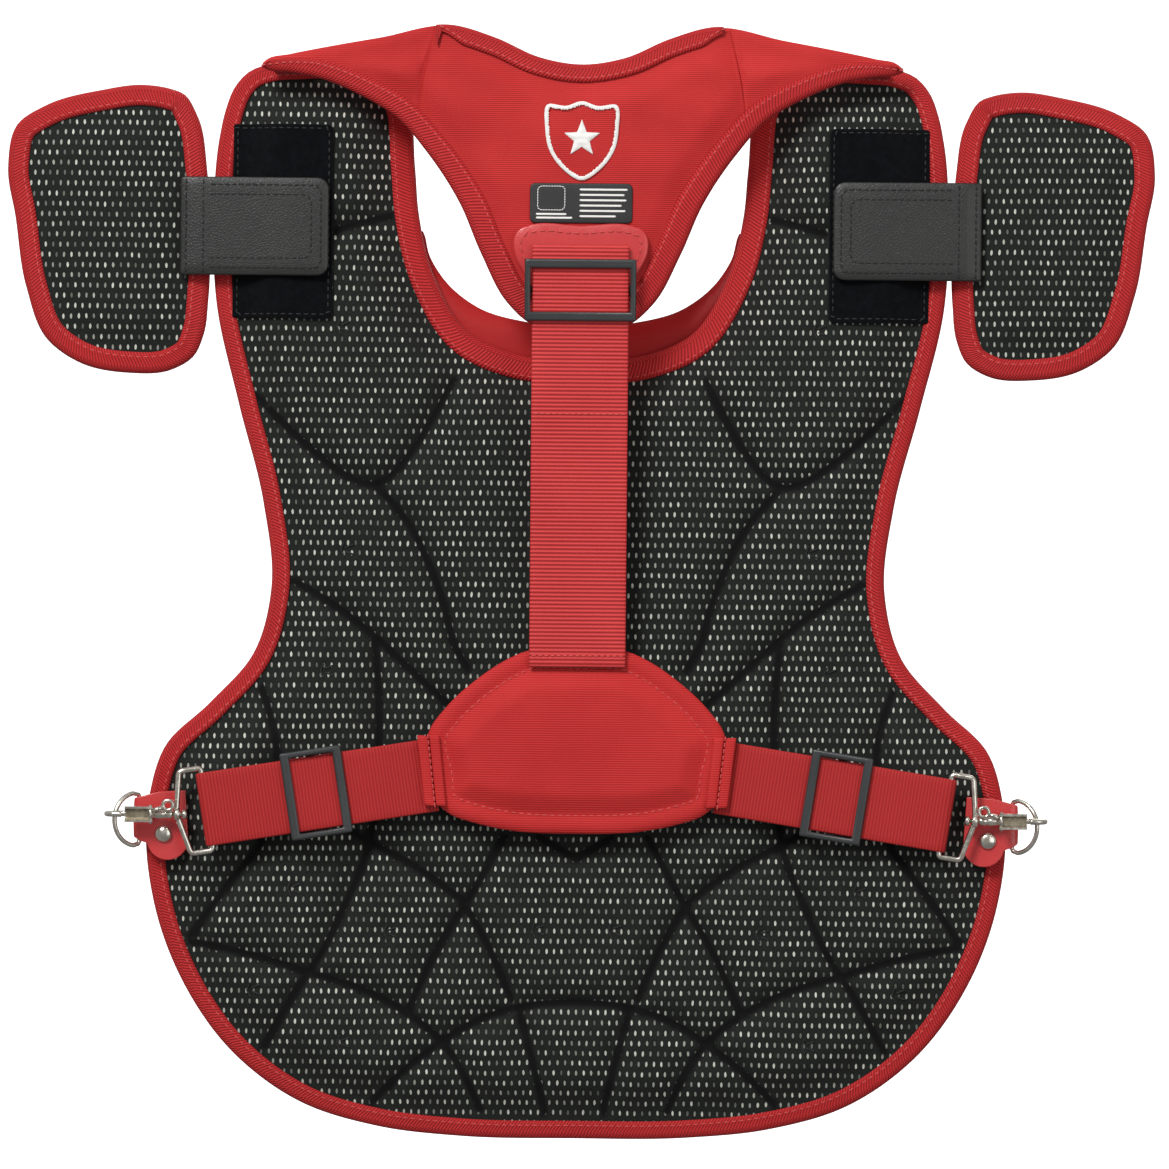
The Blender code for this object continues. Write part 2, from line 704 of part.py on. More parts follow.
def make_gate(side, sign):
    """The spring gate: a channel over the spine, with a thumb eye on its tail."""
    eye_x, eye_z, reach, hole = 210.6, HOOK_Z + 4.7, 3.45, 1.5
    steps = (-reach, -hole, 0, hole, reach)
    along = [eye_x + step for step in steps] + [218.4, 232.8]
    depth = [HOOK_Y - 6.4, HOOK_Y - 4.0, HOOK_Y - 3.2]
    lips = (-4.2, -3.4, 3.4, 4.2)
    across = sorted([eye_z + step for step in steps] + [HOOK_Z + lip for lip in lips])
    row = {name: across.index(HOOK_Z + z) for name, z in zip(("foot", "floor", "head", "top"), lips)}
    eye_low = across.index(eye_z - reach)
    channel = {(5, 1, z) for z in range(row["top"])}
    flanges = {(5, 0, row["foot"]), (5, 0, row["head"])}
    neck = {(4, 1, z) for z in range(eye_low, row["top"])}
    ring = {
        (x, 1, z)
        for x in range(4)
        for z in range(eye_low, len(across) - 1)
        if not (x in (1, 2) and abs((across[z] + across[z + 1]) / 2 - eye_z) < hole)
    }
    mesh = blocks((along, depth, across), channel | flanges | neck | ring)
    for vert in mesh.verts:
        x, z = vert.co.x - eye_x, vert.co.z - eye_z
        square = max(abs(x), abs(z))
        if 0 < square < reach + 0.01:
            vert.co.x = eye_x + x * square / hypot(x, z)
            vert.co.z = eye_z + z * square / hypot(x, z)
    pivot = (219.5, HOOK_Y - 4.8, HOOK_Z)
    add(f"gate_lever_{side}", mesh, NICKEL, sign, pivot)


def make_ring(side, sign):
    """A D of wire whose straight bar lies in the tab, leaning out to the hook."""
    lean = atan2(HOOK_Y - RING_BAR_Y, 12.6)
    half, depth = 13.65, 15.8
    shape = [(0, -9), (0, 0), (0, 9), (0.5, 12.6)]
    shape += [(2 + (depth - 2) * cos(a), half * sin(a)) for a in (radians(80 - 20 * k) for k in range(9))]
    shape += [(0.5, -12.6)]
    path = [
        (RING_BAR_X + s * cos(lean), RING_BAR_Y + s * sin(lean), RING_Z + v) for s, v in shape
    ]
    bar = (RING_BAR_X, RING_BAR_Y, RING_Z)
    add(f"d_ring_{side}", tube(path, WIRE, 8, True), NICKEL, sign, bar)


clear_scene()
make_body()
make_wings()
make_harness()
make_waist()
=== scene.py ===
"""Looks of the catcher's chest protector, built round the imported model.

Shapes are drawn in millimetres, with +Z up and the wearer on -Y, and are scaled
to metres when a mesh is made. A piece that has a twin is drawn at positive x,
and mirrored for the left side."""

import json

import bmesh
import bpy
import numpy as np
from mathutils import Matrix, Vector
from mathutils.bvhtree import BVHTree
from mathutils.geometry import delaunay_2d_cdt


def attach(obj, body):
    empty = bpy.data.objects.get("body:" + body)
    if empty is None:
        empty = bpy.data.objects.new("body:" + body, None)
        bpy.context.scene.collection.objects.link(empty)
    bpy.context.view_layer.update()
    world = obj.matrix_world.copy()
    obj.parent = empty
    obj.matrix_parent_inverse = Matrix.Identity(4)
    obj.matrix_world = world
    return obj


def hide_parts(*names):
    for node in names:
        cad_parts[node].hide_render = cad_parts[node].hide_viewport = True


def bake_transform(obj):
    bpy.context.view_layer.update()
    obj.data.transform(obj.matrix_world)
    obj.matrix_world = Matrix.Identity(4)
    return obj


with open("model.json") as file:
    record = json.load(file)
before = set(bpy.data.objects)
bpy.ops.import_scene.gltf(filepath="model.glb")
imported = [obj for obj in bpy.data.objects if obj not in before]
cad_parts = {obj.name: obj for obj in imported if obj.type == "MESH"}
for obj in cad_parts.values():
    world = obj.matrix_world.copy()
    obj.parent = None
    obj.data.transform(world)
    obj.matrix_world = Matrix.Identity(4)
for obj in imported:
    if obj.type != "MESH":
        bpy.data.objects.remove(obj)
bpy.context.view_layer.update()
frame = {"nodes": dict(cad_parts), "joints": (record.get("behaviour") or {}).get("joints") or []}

MM = 0.001
SIDES = (("left", -1), ("right", 1))
JOINTS = {j["name"]: j for j in frame["joints"]}

# ---------------------------------------------------------------- driving sizes

# A rim and a puff are half thicknesses of padding, at its edge and in its middle
BEND_RADIUS = 1100.0
RIM, PUFF, RIM_WIDTH, SWELL_WIDTH = 2.7, 12.0, 10.0, 24.0
LINER_PINCH, COVER_PINCH = 7.5, 8.5  # how far the seams pull each cover in
SHEET = 1.2  # thickness of the liner and of the cover
FOAM_ROOM = 1.9  # what the covers' outer faces leave over the foam
STITCH_IN = 2.4  # from a tape's inner edge to its stitches
BODY_TAPE_HALF, BODY_TAPE_WIDTH, NECK_TAPE_WIDTH = 4.1, 9.5, 12.5
YOKE_Y, YOKE_RIM, YOKE_PUFF = -31.0, 2.2, 5.4
YOKE_TAPE_HALF = 3.7
WING_Y, WING_SLOPE, WING_RIM, WING_PUFF = -17.0, -0.06, 2.8, 6.5
WING_TAPE_WIDTH = 11.0
PAD_Y = -24.0
WEB = 1.8  # thickness of the webbing
CENTRE_WEB, WAIST_WEB = 50.0, 38.0
WIRE = 1.35  # radius of the D-ring's round wire, and of the room in a strap's fold

BODY_EDGE = [
    (0, -542), (60, -541), (102, -536), (143, -523), (178, -497), (205, -458),
    (219, -419), (222, -365), (214, -338), (191, -315), (168.7, -289), (160, -256),
    (164.3, -211), (177.6, -159), (189.5, -107), (191.4, -60), (188.5, -20), (185.5, -6),
    (181, 5.5), (174, 13.5), (163, 18), (148, 19.5), (130, 20), (106, 15), (92, -1),
    (87, -35), (85, -58), (76, -93), (58, -121), (33, -132), (0, -134.5),
]
COLLAR = [
    (0, -142), (36, -139), (62, -127), (81, -98), (90, -73), (84, -67), (79, -81),
    (70.5, -94), (54, -107), (25.5, -115), (0, -118),
]
YOKE_EDGE = [
    (0, -117), (26, -117), (37.4, -107), (51.7, -81), (63, -55), (80, -29),
    (96, -11), (115, 0.5), (136, 9), (152, 12), (162, 13), (167, 15.5), (164, 19),
    (152, 22), (135, 25.5), (105, 31), (68, 37.5), (45, 31), (22, 21), (0, 17.5),
]
# The line where the yoke's plate meets its arm
YOKE_SEAM = [(86, -22), (82, 4), (75.5, 36)]
WING_EDGE = [
    (212, 3.5), (208, 2), (200, -10), (195, -36), (193.6, -60), (193.6, -105),
    (196, -124), (201, -135), (212, -142), (235, -144), (260, -139), (277, -127),
    (288, -100), (294, -63), (298, -38), (293, -15), (279, -5.5), (250, 3),
    (228, 6),
]
PAD_EDGE = [
    (0, -381.5), (38, -379.5), (52, -376.5), (66, -371.5), (71, -367.5), (74, -352),
    (77.5, -332), (76.5, -328.5), (68.5, -317), (52.5, -302), (33, -289.5), (27, -287),
    (20, -286), (0, -286),
]

# Quilting seams of the body, right half, as (x, z)
QUILT = [
    [(127, -68.5), (98, -60)],
    [(170, -153), (105, -201), (66, -146)],
    [(104, -203), (88, -222), (77, -244), (69.5, -264), (63.5, -286), (57, -297)],
    [(152, -249), (124, -266), (106, -280), (86, -298.5), (60, -322)],
    [(105.5, -281), (103.5, -309), (103, -334), (106, -376)],
    [(165, -305), (156, -337), (164.5, -389)],
    [(164.5, -389), (182, -412), (200, -437)],
    [(200, -439), (169, -446), (138, -455.5), (110, -464.5), (88, -476), (69.5, -491),
     (57.7, -507.5), (49, -527)],
    [(106, -376), (108, -390), (119, -418), (133, -447), (143, -462), (163, -497)],
    [(118, -381), (106, -388), (82, -401), (57.5, -419)],
    [(37.5, -384), (57.5, -420), (71, -442), (86, -474)],
    [(57.5, -420), (45, -442), (33, -469)],
    [(0, -470), (31, -473.5), (53, -481.5), (70.5, -492.5), (88, -506), (108, -526)],
    [(28.5, -476), (22, -500), (15, -529)],
    [(19, -384), (0, -395)],
]
# Middles of the tacking stitches, right half
TACKS = [
    (121, -235), (131, -298), (129, -347), (124, -119), (147, -411.5), (97, -434),
    (20, -432.5), (167.5, -464), (121, -491.5),
]

# ---------------------------------------------------------------- outlines


def mirrored(half):
    """The whole outline, from its right half."""
    return half + [(-x, z) for x, z in reversed(half) if x > 0]


def smooth(points, spacing, closed=True):
    """A curve through the points, resampled evenly at about the spacing."""
    p = np.array(points, float)
    count = len(p)
    spans = range(count if closed else count - 1)
    dense = []
    for i in spans:
        near = [p[(i + k) % count] for k in (-1, 0, 1, 2)]
        if not closed:
            near[0] = p[max(i - 1, 0)]
            near[3] = p[min(i + 2, count - 1)]
        a, b, c = (np.linalg.norm(near[k + 1] - near[k]) or 1.0 for k in range(3))
        leave = ((near[2] - near[1]) / b * a + (near[1] - near[0]) / a * b) / (a + b) * b
        arrive = ((near[3] - near[2]) / c * b + (near[2] - near[1]) / b * c) / (b + c) * b
        t = np.linspace(0, 1, 24, endpoint=False)[:, None]
        dense.append(
            near[1] * (2 * t**3 - 3 * t**2 + 1) + leave * (t**3 - 2 * t**2 + t)
            + near[2] * (3 * t**2 - 2 * t**3) + arrive * (t**3 - t**2)
        )
    dense = np.concatenate(dense + [p[:1] if closed else p[-1:]])
    return resample(dense, spacing, closed)


def travelled(path):
    """Length along the path to each of its points."""
    return np.concatenate([[0], np.cumsum(np.linalg.norm(np.diff(path, axis=0), axis=1))])


def resample(dense, spacing, closed):
    """The path with its points evenly spaced; a closed path leaves out its last point."""
    lengths = travelled(dense)
    steps = max(3, round(lengths[-1] / spacing))
    at = np.linspace(0, lengths[-1], steps + 1)
    made = np.stack([np.interp(at, lengths, dense[:, k]) for k in range(dense.shape[1])], 1)
    return made[:-1] if closed else made


def anticlockwise(loop):
    """The loop, turned round if it runs clockwise seen with +Z up and +X to the right."""
    after = np.roll(loop, -1, 0)
    area = (loop[:, 0] * after[:, 1] - after[:, 0] * loop[:, 1]).sum()
    return loop if area > 0 else loop[::-1]


def unit(vector):
    """The vector at length 1."""
    return vector / np.linalg.norm(vector)


def rejoined(loop):
    """The loop with its first point again at its end."""
    return np.concatenate([loop, loop[:1]])


def inward(loop):
    """Unit vectors that point into an anticlockwise loop, one at each point."""
    along = np.roll(loop, -1, 0) - np.roll(loop, 1, 0)
    along /= np.linalg.norm(along, axis=1)[:, None]
    return np.stack([-along[:, 1], along[:, 0]], 1)


def inset(loop, distance):
    """The loop moved inward; the distance is a number, or one for each point."""
    return loop + inward(loop) * np.reshape(distance, (-1, 1))


def segment_distance(points, starts, ends):
    """Distance of each point to the nearest of the segments."""
    nearest = np.full(len(points), 1e9)
    for a, b in zip(starts, ends):
        d = b - a
        t = np.clip(((points - a) @ d) / (d @ d), 0, 1)
        nearest = np.minimum(nearest, np.linalg.norm(points - a - t[:, None] * d, axis=1))
    return nearest


def loop_distance(points, loop):
    """Distance of each point to the loop's outline."""
    return segment_distance(points, loop, np.roll(loop, -1, 0))


def line_distance(points, lines):
    """Distance of each point to the nearest of some open lines."""
    starts = np.concatenate([line[:-1] for line in lines])
    ends = np.concatenate([line[1:] for line in lines])
    return segment_distance(points, starts, ends)


def swell(distance, low, high, start, width):
    """A smooth rise from low to high over the width, from the start on."""
    t = np.clip((distance - start) / width, 0, 1)
    return low + (high - low) * t * t * (3 - 2 * t)


def raised(flat, y):
    """Points (x, z) as points (x, y, z)."""
    return np.stack([flat[:, 0], y, flat[:, 1]], 1)


def height(surface, points):
    """The surface's y at the points; the surface is a number or a function of them."""
    return surface(points) if callable(surface) else np.full(len(points), float(surface))


def panel_y(x):
    """The body's middle surface, bent gently round the wearer."""
    return -x * x / (2 * BEND_RADIUS)


BODY_LOOP = anticlockwise(smooth(mirrored(BODY_EDGE), 4))
YOKE_LOOP = anticlockwise(smooth(mirrored(YOKE_EDGE), 3))
WING_LOOP = anticlockwise(smooth(WING_EDGE, 3))
PAD_LOOP = anticlockwise(smooth(mirrored(PAD_EDGE), 3))
SEAMS = [smooth(line, 8, False) for line in QUILT]
SEAMS += [line * (-1, 1) for line in SEAMS]

# ---------------------------------------------------------------- materials


class Nodes:
    """A short way to write the node tree of a material or a world."""

    def __init__(self, owner, shader="Principled BSDF"):
        owner.use_nodes = True
        self.owner = owner
        self.tree = owner.node_tree
        self.shader = self.tree.nodes[shader]

    def add(self, kind, **values):
        node = self.tree.nodes.new(kind)
        for key, value in values.items():
            setattr(node, key, value)
        return node

    def feed(self, node, values):
        """Sets inputs, each from another node's output or to a fixed value."""
        for key, value in values.items():
            if isinstance(value, bpy.types.NodeSocket):
                self.tree.links.new(value, node.inputs[key])
            else:
                node.inputs[key].default_value = (*value, 1.0) if isinstance(value, tuple) else value

    def math(self, operation, a, b=0.0, c=0.0):
        node = self.add("ShaderNodeMath", operation=operation)
        self.feed(node, {0: a, 1: b, 2: c})
        return node.outputs[0]

    def plus(self, a, b):
        return self.math("ADD", a, b)

    def times(self, a, b):
        return self.math("MULTIPLY", a, b)

    def split(self, vector):
        node = self.add("ShaderNodeSeparateXYZ")
        self.feed(node, {0: vector})
        return node.outputs

    def join(self, x, y, z=0.0):
        node = self.add("ShaderNodeCombineXYZ")
        self.feed(node, {0: x, 1: y, 2: z})
        return node.outputs[0]

    def place(self, name="Object"):
        return self.add("ShaderNodeTexCoord").outputs[name]

    def noise(self, scale, detail=3.0, rough=0.6, vector=None):
        node = self.add("ShaderNodeTexNoise")
        vector = vector or self.place()
        self.feed(node, {"Vector": vector, "Scale": scale, "Detail": detail, "Roughness": rough})
        return node.outputs["Fac"]

    def ramp(self, value, low, high, out_low=0.0, out_high=1.0, kind="SMOOTHSTEP"):
        node = self.add("ShaderNodeMapRange", interpolation_type=kind)
        self.feed(node, {"Value": value, "From Min": low, "From Max": high})
        self.feed(node, {"To Min": out_low, "To Max": out_high})
        return node.outputs["Result"]

    def wave(self, along, pitch, shift=0.0):
        """0 to 1 and back, once in each pitch."""
        phase = self.plus(self.times(along, 2 * np.pi / pitch), shift)
        return self.math("MULTIPLY_ADD", self.math("SINE", phase), 0.5, 0.5)

    def mix(self, factor, a, b):
        """A colour between a and b; 6 and 7 are the node's colour inputs, 2 its colour output."""
        node = self.add("ShaderNodeMix", data_type="RGBA")
        self.feed(node, {0: factor, 6: a, 7: b})
        return node.outputs[2]

    def bump(self, depth_map, distance, strength=1.0):
        node = self.add("ShaderNodeBump")
        self.feed(node, {"Height": depth_map, "Distance": distance, "Strength": strength})
        return node.outputs["Normal"]

    def finish(self, color, rough, normal, **fixed):
        """The material, once its shader is fed; an underscore stands for a space in a name."""
        self.feed(self.shader, {"Base Color": color, "Roughness": rough, "Normal": normal})
        self.feed(self.shader, {key.replace("_", " "): value for key, value in fixed.items()})
        return self.owner


def rgb(r, g, b):
    """Linear colour from 8-bit sRGB."""
    s = np.array([r, g, b]) / 255
    return tuple(float(c) for c in np.where(s <= 0.04045, s / 12.92, ((s + 0.055) / 1.055) ** 2.4))


def start(name):
    """A new material, ready for its nodes."""
    return Nodes(bpy.data.materials.new(name))


def mesh_fabric():
    """Black spacer mesh: staggered oval holes that show a pale backing, closed at seams. Along the seams
    the cloth is also darkened almost to black: partly the mesh pulled in, partly painted shade in the
    creases.
    """
    n = start("mesh_liner")
    seam = n.add("ShaderNodeAttribute", attribute_name="seam").outputs["Fac"]
    pitch, row, hole_x, hole_z = 3.9e-3, 5.3e-3, 0.68e-3, 1.5e-3
    x, _, z = n.split(n.place())
    wander = n.noise(45.0, 2.0)
    u = n.plus(n.math("DIVIDE", x, pitch), n.times(wander, 0.5))
    v = n.plus(n.math("DIVIDE", z, row), n.times(wander, 0.3))
    odd = n.math("MODULO", n.math("ABSOLUTE", n.math("FLOOR", v)), 2.0)
    u = n.plus(u, n.times(odd, 0.5))
    du = n.times(n.math("SUBTRACT", n.math("FRACT", u), 0.5), pitch / hole_x)
    dv = n.times(n.math("SUBTRACT", n.math("FRACT", v), 0.5), row / hole_z)
    away = n.math("SQRT", n.plus(n.times(du, du), n.times(dv, dv)))
    hole = n.times(n.ramp(away, 0.72, 1.08, 1.0, 0.0), n.ramp(seam, 0.15, 0.6, 1.0, 0.0))
    rim = n.ramp(away, 1.0, 2.0, 0.45, 1.0)
    cell = n.add("ShaderNodeTexWhiteNoise", noise_dimensions="2D")
    n.feed(cell, {"Vector": n.join(n.math("FLOOR", u), n.math("FLOOR", v))})
    shade = n.mix(cell.outputs["Value"], rgb(84, 86, 80), rgb(204, 205, 194))
    grain = n.noise(900.0)
    cloth = n.mix(grain, rgb(12, 14, 13), rgb(36, 40, 36))
    cloth = n.mix(rim, rgb(10, 11, 10), cloth)
    # Near the seams the cloth goes almost black: painted shade in the quilting creases, on top of the
    # closed, pulled-in mesh.
    cloth = n.mix(n.ramp(seam, 0.05, 0.75), cloth, rgb(3, 3, 3))
    color = n.mix(hole, cloth, shade)
    knit = n.math("SUBTRACT", n.times(grain, 0.35), hole)
    return n.finish(
        color, 0.82, n.bump(knit, 0.35e-3, 0.8), Sheen_Weight=0.05, Sheen_Roughness=0.5,
        Specular_IOR_Level=0.2,
    )


def ribbed_cloth(name, low, high, pitch, depth, rough=0.72):
    """Woven cloth with fine level ribs."""
    n = start(name)
    x, y, z = n.split(n.place())
    rib = n.wave(z, pitch, n.times(n.noise(60.0, 2.0), 3.0))
    thread = n.noise(1400.0, 2.0, vector=n.join(n.times(x, 0.35), y, z))
    tone = n.plus(n.times(rib, 0.45), n.times(n.noise(14.0), 0.55))
    weave = n.bump(n.plus(rib, n.times(thread, 0.6)), depth, 0.9)
    return n.finish(
        n.mix(n.ramp(tone, 0.2, 0.85), low, high), rough, weave,
        Sheen_Weight=0.05, Sheen_Roughness=0.4, Specular_IOR_Level=0.25,
    )


def taped(name, low, high, pitch, slant, depth, rough=0.7):
    """Ribbed tape or webbing, patterned along its own length with the mesh's UV in metres."""
    n = start(name)
    u, v, _ = n.split(n.place("UV"))
    rib = n.wave(n.plus(u, n.times(v, slant)), pitch)
    thread = n.noise(2200.0, 2.0, vector=n.join(u, n.times(v, 0.4)))
    tone = n.plus(n.times(rib, 0.6), n.times(n.noise(22.0), 0.3))
    tone = n.plus(tone, n.times(thread, 0.25))
    weave = n.bump(n.plus(rib, n.times(thread, 0.4)), depth)
    return n.finish(
        n.mix(n.ramp(tone, 0.15, 0.95), low, high), rough, weave,
        Sheen_Weight=0.04, Sheen_Roughness=0.4, Specular_IOR_Level=0.25,
    )


def grained(name, low, high, scale, depth, rough, coat=0.0):
    """Leather, vinyl or moulded plastic: cellular grain with soft tone changes."""
    n = start(name)
    cells = n.add("ShaderNodeTexVoronoi", feature="DISTANCE_TO_EDGE")
    n.feed(cells, {"Scale": scale, "Vector": n.place()})
    fine = n.noise(scale * 2.5, 4.0)
    crease = n.ramp(cells.outputs["Distance"], 0.0, 0.25)
    color = n.mix(n.noise(35.0), low, high)
    gloss = n.ramp(fine, 0.3, 0.7, rough - 0.06, rough + 0.08)
    grain = n.bump(n.plus(crease, n.times(fine, 0.6)), depth, 0.6)
    return n.finish(color, gloss, grain, Coat_Weight=coat)


def brushed(name, low, high, rough):
    """Plated metal with faint polishing marks and tarnish."""
    n = start(name)
    x, y, z = n.split(n.place())
    marks = n.noise(2600.0, vector=n.join(n.times(x, 0.15), y, z))
    cloud = n.noise(240.0)
    color = n.mix(n.ramp(cloud, 0.3, 0.75), low, high)
    gloss = n.ramp(cloud, 0.3, 0.7, rough - 0.06, rough + 0.12)
    return n.finish(color, gloss, n.bump(marks, 0.03e-3, 0.5), Metallic=1.0)


def pile(name, low, high):
    """Brushed loop pile."""
    n = start(name)
    fuzz = n.noise(1500.0, 5.0, 0.75)
    color = n.mix(n.ramp(n.times(fuzz, n.noise(260.0)), 0.12, 0.42), low, high)
    return n.finish(color, 0.95, n.bump(fuzz, 0.8e-3), Sheen_Weight=0.04, Specular_IOR_Level=0.1)


LINER = mesh_fabric()
PLATE = ribbed_cloth("red_yoke_cloth", rgb(166, 26, 28), rgb(208, 52, 50), 1.05e-3, 0.12e-3)
PAD = ribbed_cloth("red_pad_cloth", rgb(172, 28, 30), rgb(210, 54, 52), 1.2e-3, 0.12e-3)
COVER = ribbed_cloth("red_cover_cloth", rgb(152, 24, 26), rgb(188, 42, 42), 0.9e-3, 0.08e-3)
SMOOTH_RED = ribbed_cloth("red_collar_cloth", rgb(162, 26, 28), rgb(188, 40, 40), 0.6e-3, 0.03e-3, 0.5)
TAPE = taped("red_binding", rgb(140, 20, 26), rgb(204, 46, 46), 1.7e-3, 0.85, 0.28e-3)
WEBBING = taped("red_webbing", rgb(156, 30, 32), rgb(224, 70, 70), 2.05e-3, 0.0, 0.3e-3, 0.6)
WAIST_WEBBING = taped("red_waist_webbing", rgb(154, 28, 30), rgb(184, 44, 44), 1.7e-3, 0.0, 0.14e-3, 0.7)
LEATHER = grained("red_leather", rgb(184, 38, 42), rgb(212, 60, 60), 900.0, 0.06e-3, 0.34, 0.25)
CUT_EDGE = grained("leather_cut_edge", rgb(196, 96, 90), rgb(216, 128, 118), 1200.0, 0.1e-3, 0.8)
VINYL = grained("black_vinyl", rgb(22, 23, 22), rgb(38, 38, 36), 700.0, 0.1e-3, 0.42, 0.1)
PLASTIC = grained("dark_plastic", rgb(40, 42, 43), rgb(58, 60, 61), 1600.0, 0.03e-3, 0.34)
NICKEL = brushed("nickel", rgb(196, 190, 178), rgb(226, 222, 212), 0.22)
# A darker, browner nickel for the sheet in the gate's channel: painted shade in that recess.
NICKEL_PAINTED_SHADE = brushed("nickel_painted_shade", rgb(132, 122, 104), rgb(160, 150, 130), 0.45)
LOOP = pile("loop_pile", rgb(4, 5, 8), rgb(14, 16, 20))
THREAD_RED = grained("red_thread", rgb(196, 60, 60), rgb(212, 84, 82), 2500.0, 0.05e-3, 0.55)
THREAD_DARK = grained("black_thread", rgb(14, 15, 15), rgb(30, 31, 30), 2500.0, 0.05e-3, 0.6)
THREAD_WHITE = grained("white_thread", rgb(226, 224, 220), rgb(250, 248, 244), 2500.0, 0.05e-3, 0.5)
LABEL = grained("label_satin", rgb(22, 23, 25), rgb(38, 38, 40), 2200.0, 0.03e-3, 0.5)

# ---------------------------------------------------------------- mesh makers


def piece(name, verts, faces, look, body, side=1, uv=None, rides=True, replaces=""):
    """A mesh piece from points in millimetres; side -1 mirrors it in x.

    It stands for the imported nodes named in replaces, with spaces between them."""
    verts = np.array(verts, float)
    if side < 0:
        verts = verts * (-1, 1, 1)
        faces = [tuple(reversed(face)) for face in faces]
    data = bpy.data.meshes.new(name)
    data.from_pydata((verts * MM).tolist(), [], [tuple(map(int, f)) for f in faces])
    if uv is not None:
        layer = data.uv_layers.new(name="UVMap")
        index = np.empty(len(data.loops), int)
        data.loops.foreach_get("vertex_index", index)
        layer.data.foreach_set("uv", (np.array(uv, float)[index] * MM).ravel())
    data.shade_smooth()
    data.materials.append(look)
    made = bpy.data.objects.new(name, data)
    bpy.context.scene.collection.objects.link(made)
    if replaces:
        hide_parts(*replaces.split())
    if rides:
        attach(made, body)
    return made


def fill(loop, pitch, rings=(), lines=()):
    """Triangles over an outline and its crease lines: points, faces, outline's indices."""
    loops = [loop] + [inset(loop, distance) for distance in rings]
    lines = [line[loop_distance(line, loops[-1]) > 1.5] for line in lines]
    lines = [line[inside(line, loops[-1])] for line in lines if len(line)]
    lines = [line for line in lines if len(line) > 2]
    low, high = loop.min(0), loop.max(0)
    xs = np.arange(low[0], high[0], pitch)
    zs = np.arange(low[1], high[1], pitch * 0.87)
    grid = np.array([(x + pitch * 0.5 * (k % 2), z) for k, z in enumerate(zs) for x in xs])
    grid = grid[inside(grid, loops[-1]) & (loop_distance(grid, loops[-1]) > pitch * 0.6)]
    if lines:
        grid = grid[line_distance(grid, lines) > pitch * 0.55]
    points = np.concatenate(loops + [grid, *lines])
    edges, first = [], 0
    for ring in loops:
        count = len(ring)
        edges += [(first + i, first + (i + 1) % count) for i in range(count)]
        first += count
    made = delaunay_2d_cdt([Vector(p) for p in points], edges, [], 1, 1e-5)
    flat = np.array([tuple(v) for v in made[0]])
    order = {source: k for k, sources in enumerate(made[3]) for source in sources}
    outline = [order[i] for i in range(len(loop))]
    faces = [tuple(f) for f in made[2]]
    return flat, faces, outline


def inside(points, loop):
    """Whether each point lies in the loop, by counting crossings."""
    x, z = points[:, 0], points[:, 1]
    crossed = np.zeros(len(points), bool)
    for a, b in zip(loop, np.roll(loop, -1, 0)):
        if a[1] != b[1]:
            spans = (a[1] > z) != (b[1] > z)
            crossed ^= spans & (x < (b[0] - a[0]) * (z - a[1]) / (b[1] - a[1]) + a[0])
    return crossed


def padding(name, loop, pitch, front, back, look, body, rings=(), lines=(), **extra):
    """A closed solid over an outline, between its surface to the wearer and its far one."""
    flat, faces, outline = fill(loop, pitch, rings, lines)
    count = len(flat)
    verts = np.concatenate([raised(flat, height(front, flat)), raised(flat, height(back, flat))])
    faces = faces + [tuple(count + i for i in reversed(f)) for f in faces]
    for a, b in zip(outline, outline[1:] + outline[:1]):
        faces.append((b, a, a + count, b + count))
    return piece(name, verts, faces, look, body, **extra)


def band(name, loop, centre, half, width, look, body, thick=0.95, keep=None, **extra):
    """Tape folded over an edge, all round or where keep is true."""
    count = len(loop)
    width = np.broadcast_to(np.asarray(width, float), (count,))
    corner = half * 0.86
    flank = []
    for t in np.linspace(0, 1, 5):
        arch = half * (0.86 + 0.14 * np.sin(np.pi * min(1, 1.6 * t)))
        flank.append((corner * 0.9, 1 - t, arch))
    # Each point of the section: where it starts, its share of the width, its depth
    section = [(begin, share, -depth) for begin, share, depth in flank]
    for a in np.radians(np.linspace(-80, 80, 9)):
        section.append((corner * (1 - np.cos(a)), 0, corner * np.sin(a)))
    section += reversed(flank)
    scale = (half - thick) / half
    shell = list(section)
    for begin, share, depth in reversed(section):
        shell.append((begin if share else begin + thick, share, depth * scale))
    ring = len(shell)
    rows = []
    for begin, share, depth in shell:
        at = inset(loop, begin + share * (width - begin))
        rows.append(raised(at, centre(at[:, 0]) + depth))
    # One more copy of the first row closes the loop without wrapping the UV
    verts = np.stack(rows, 1).reshape(-1, 3)
    verts = np.concatenate([verts, verts[:ring]])
    uv = [(length, 1.2 * k) for length in travelled(rejoined(loop)) for k in range(ring)]
    kept = np.ones(count, bool) if keep is None else keep
    faces = []
    for i in np.flatnonzero(kept):
        for k in range(ring):
            a, b = i * ring + k, i * ring + (k + 1) % ring
            faces.append((a, b, b + ring, a + ring))
        if not kept[i - 1]:
            faces.append(tuple(i * ring + k for k in range(ring)))
        if not kept[(i + 1) % count]:
            faces.append(tuple((i + 1) * ring + k for k in reversed(range(ring))))
    made = piece(name, verts, faces, look, body, uv=uv, **extra)
    straighten(made, merge=1e-5)
    made.data.shade_smooth()


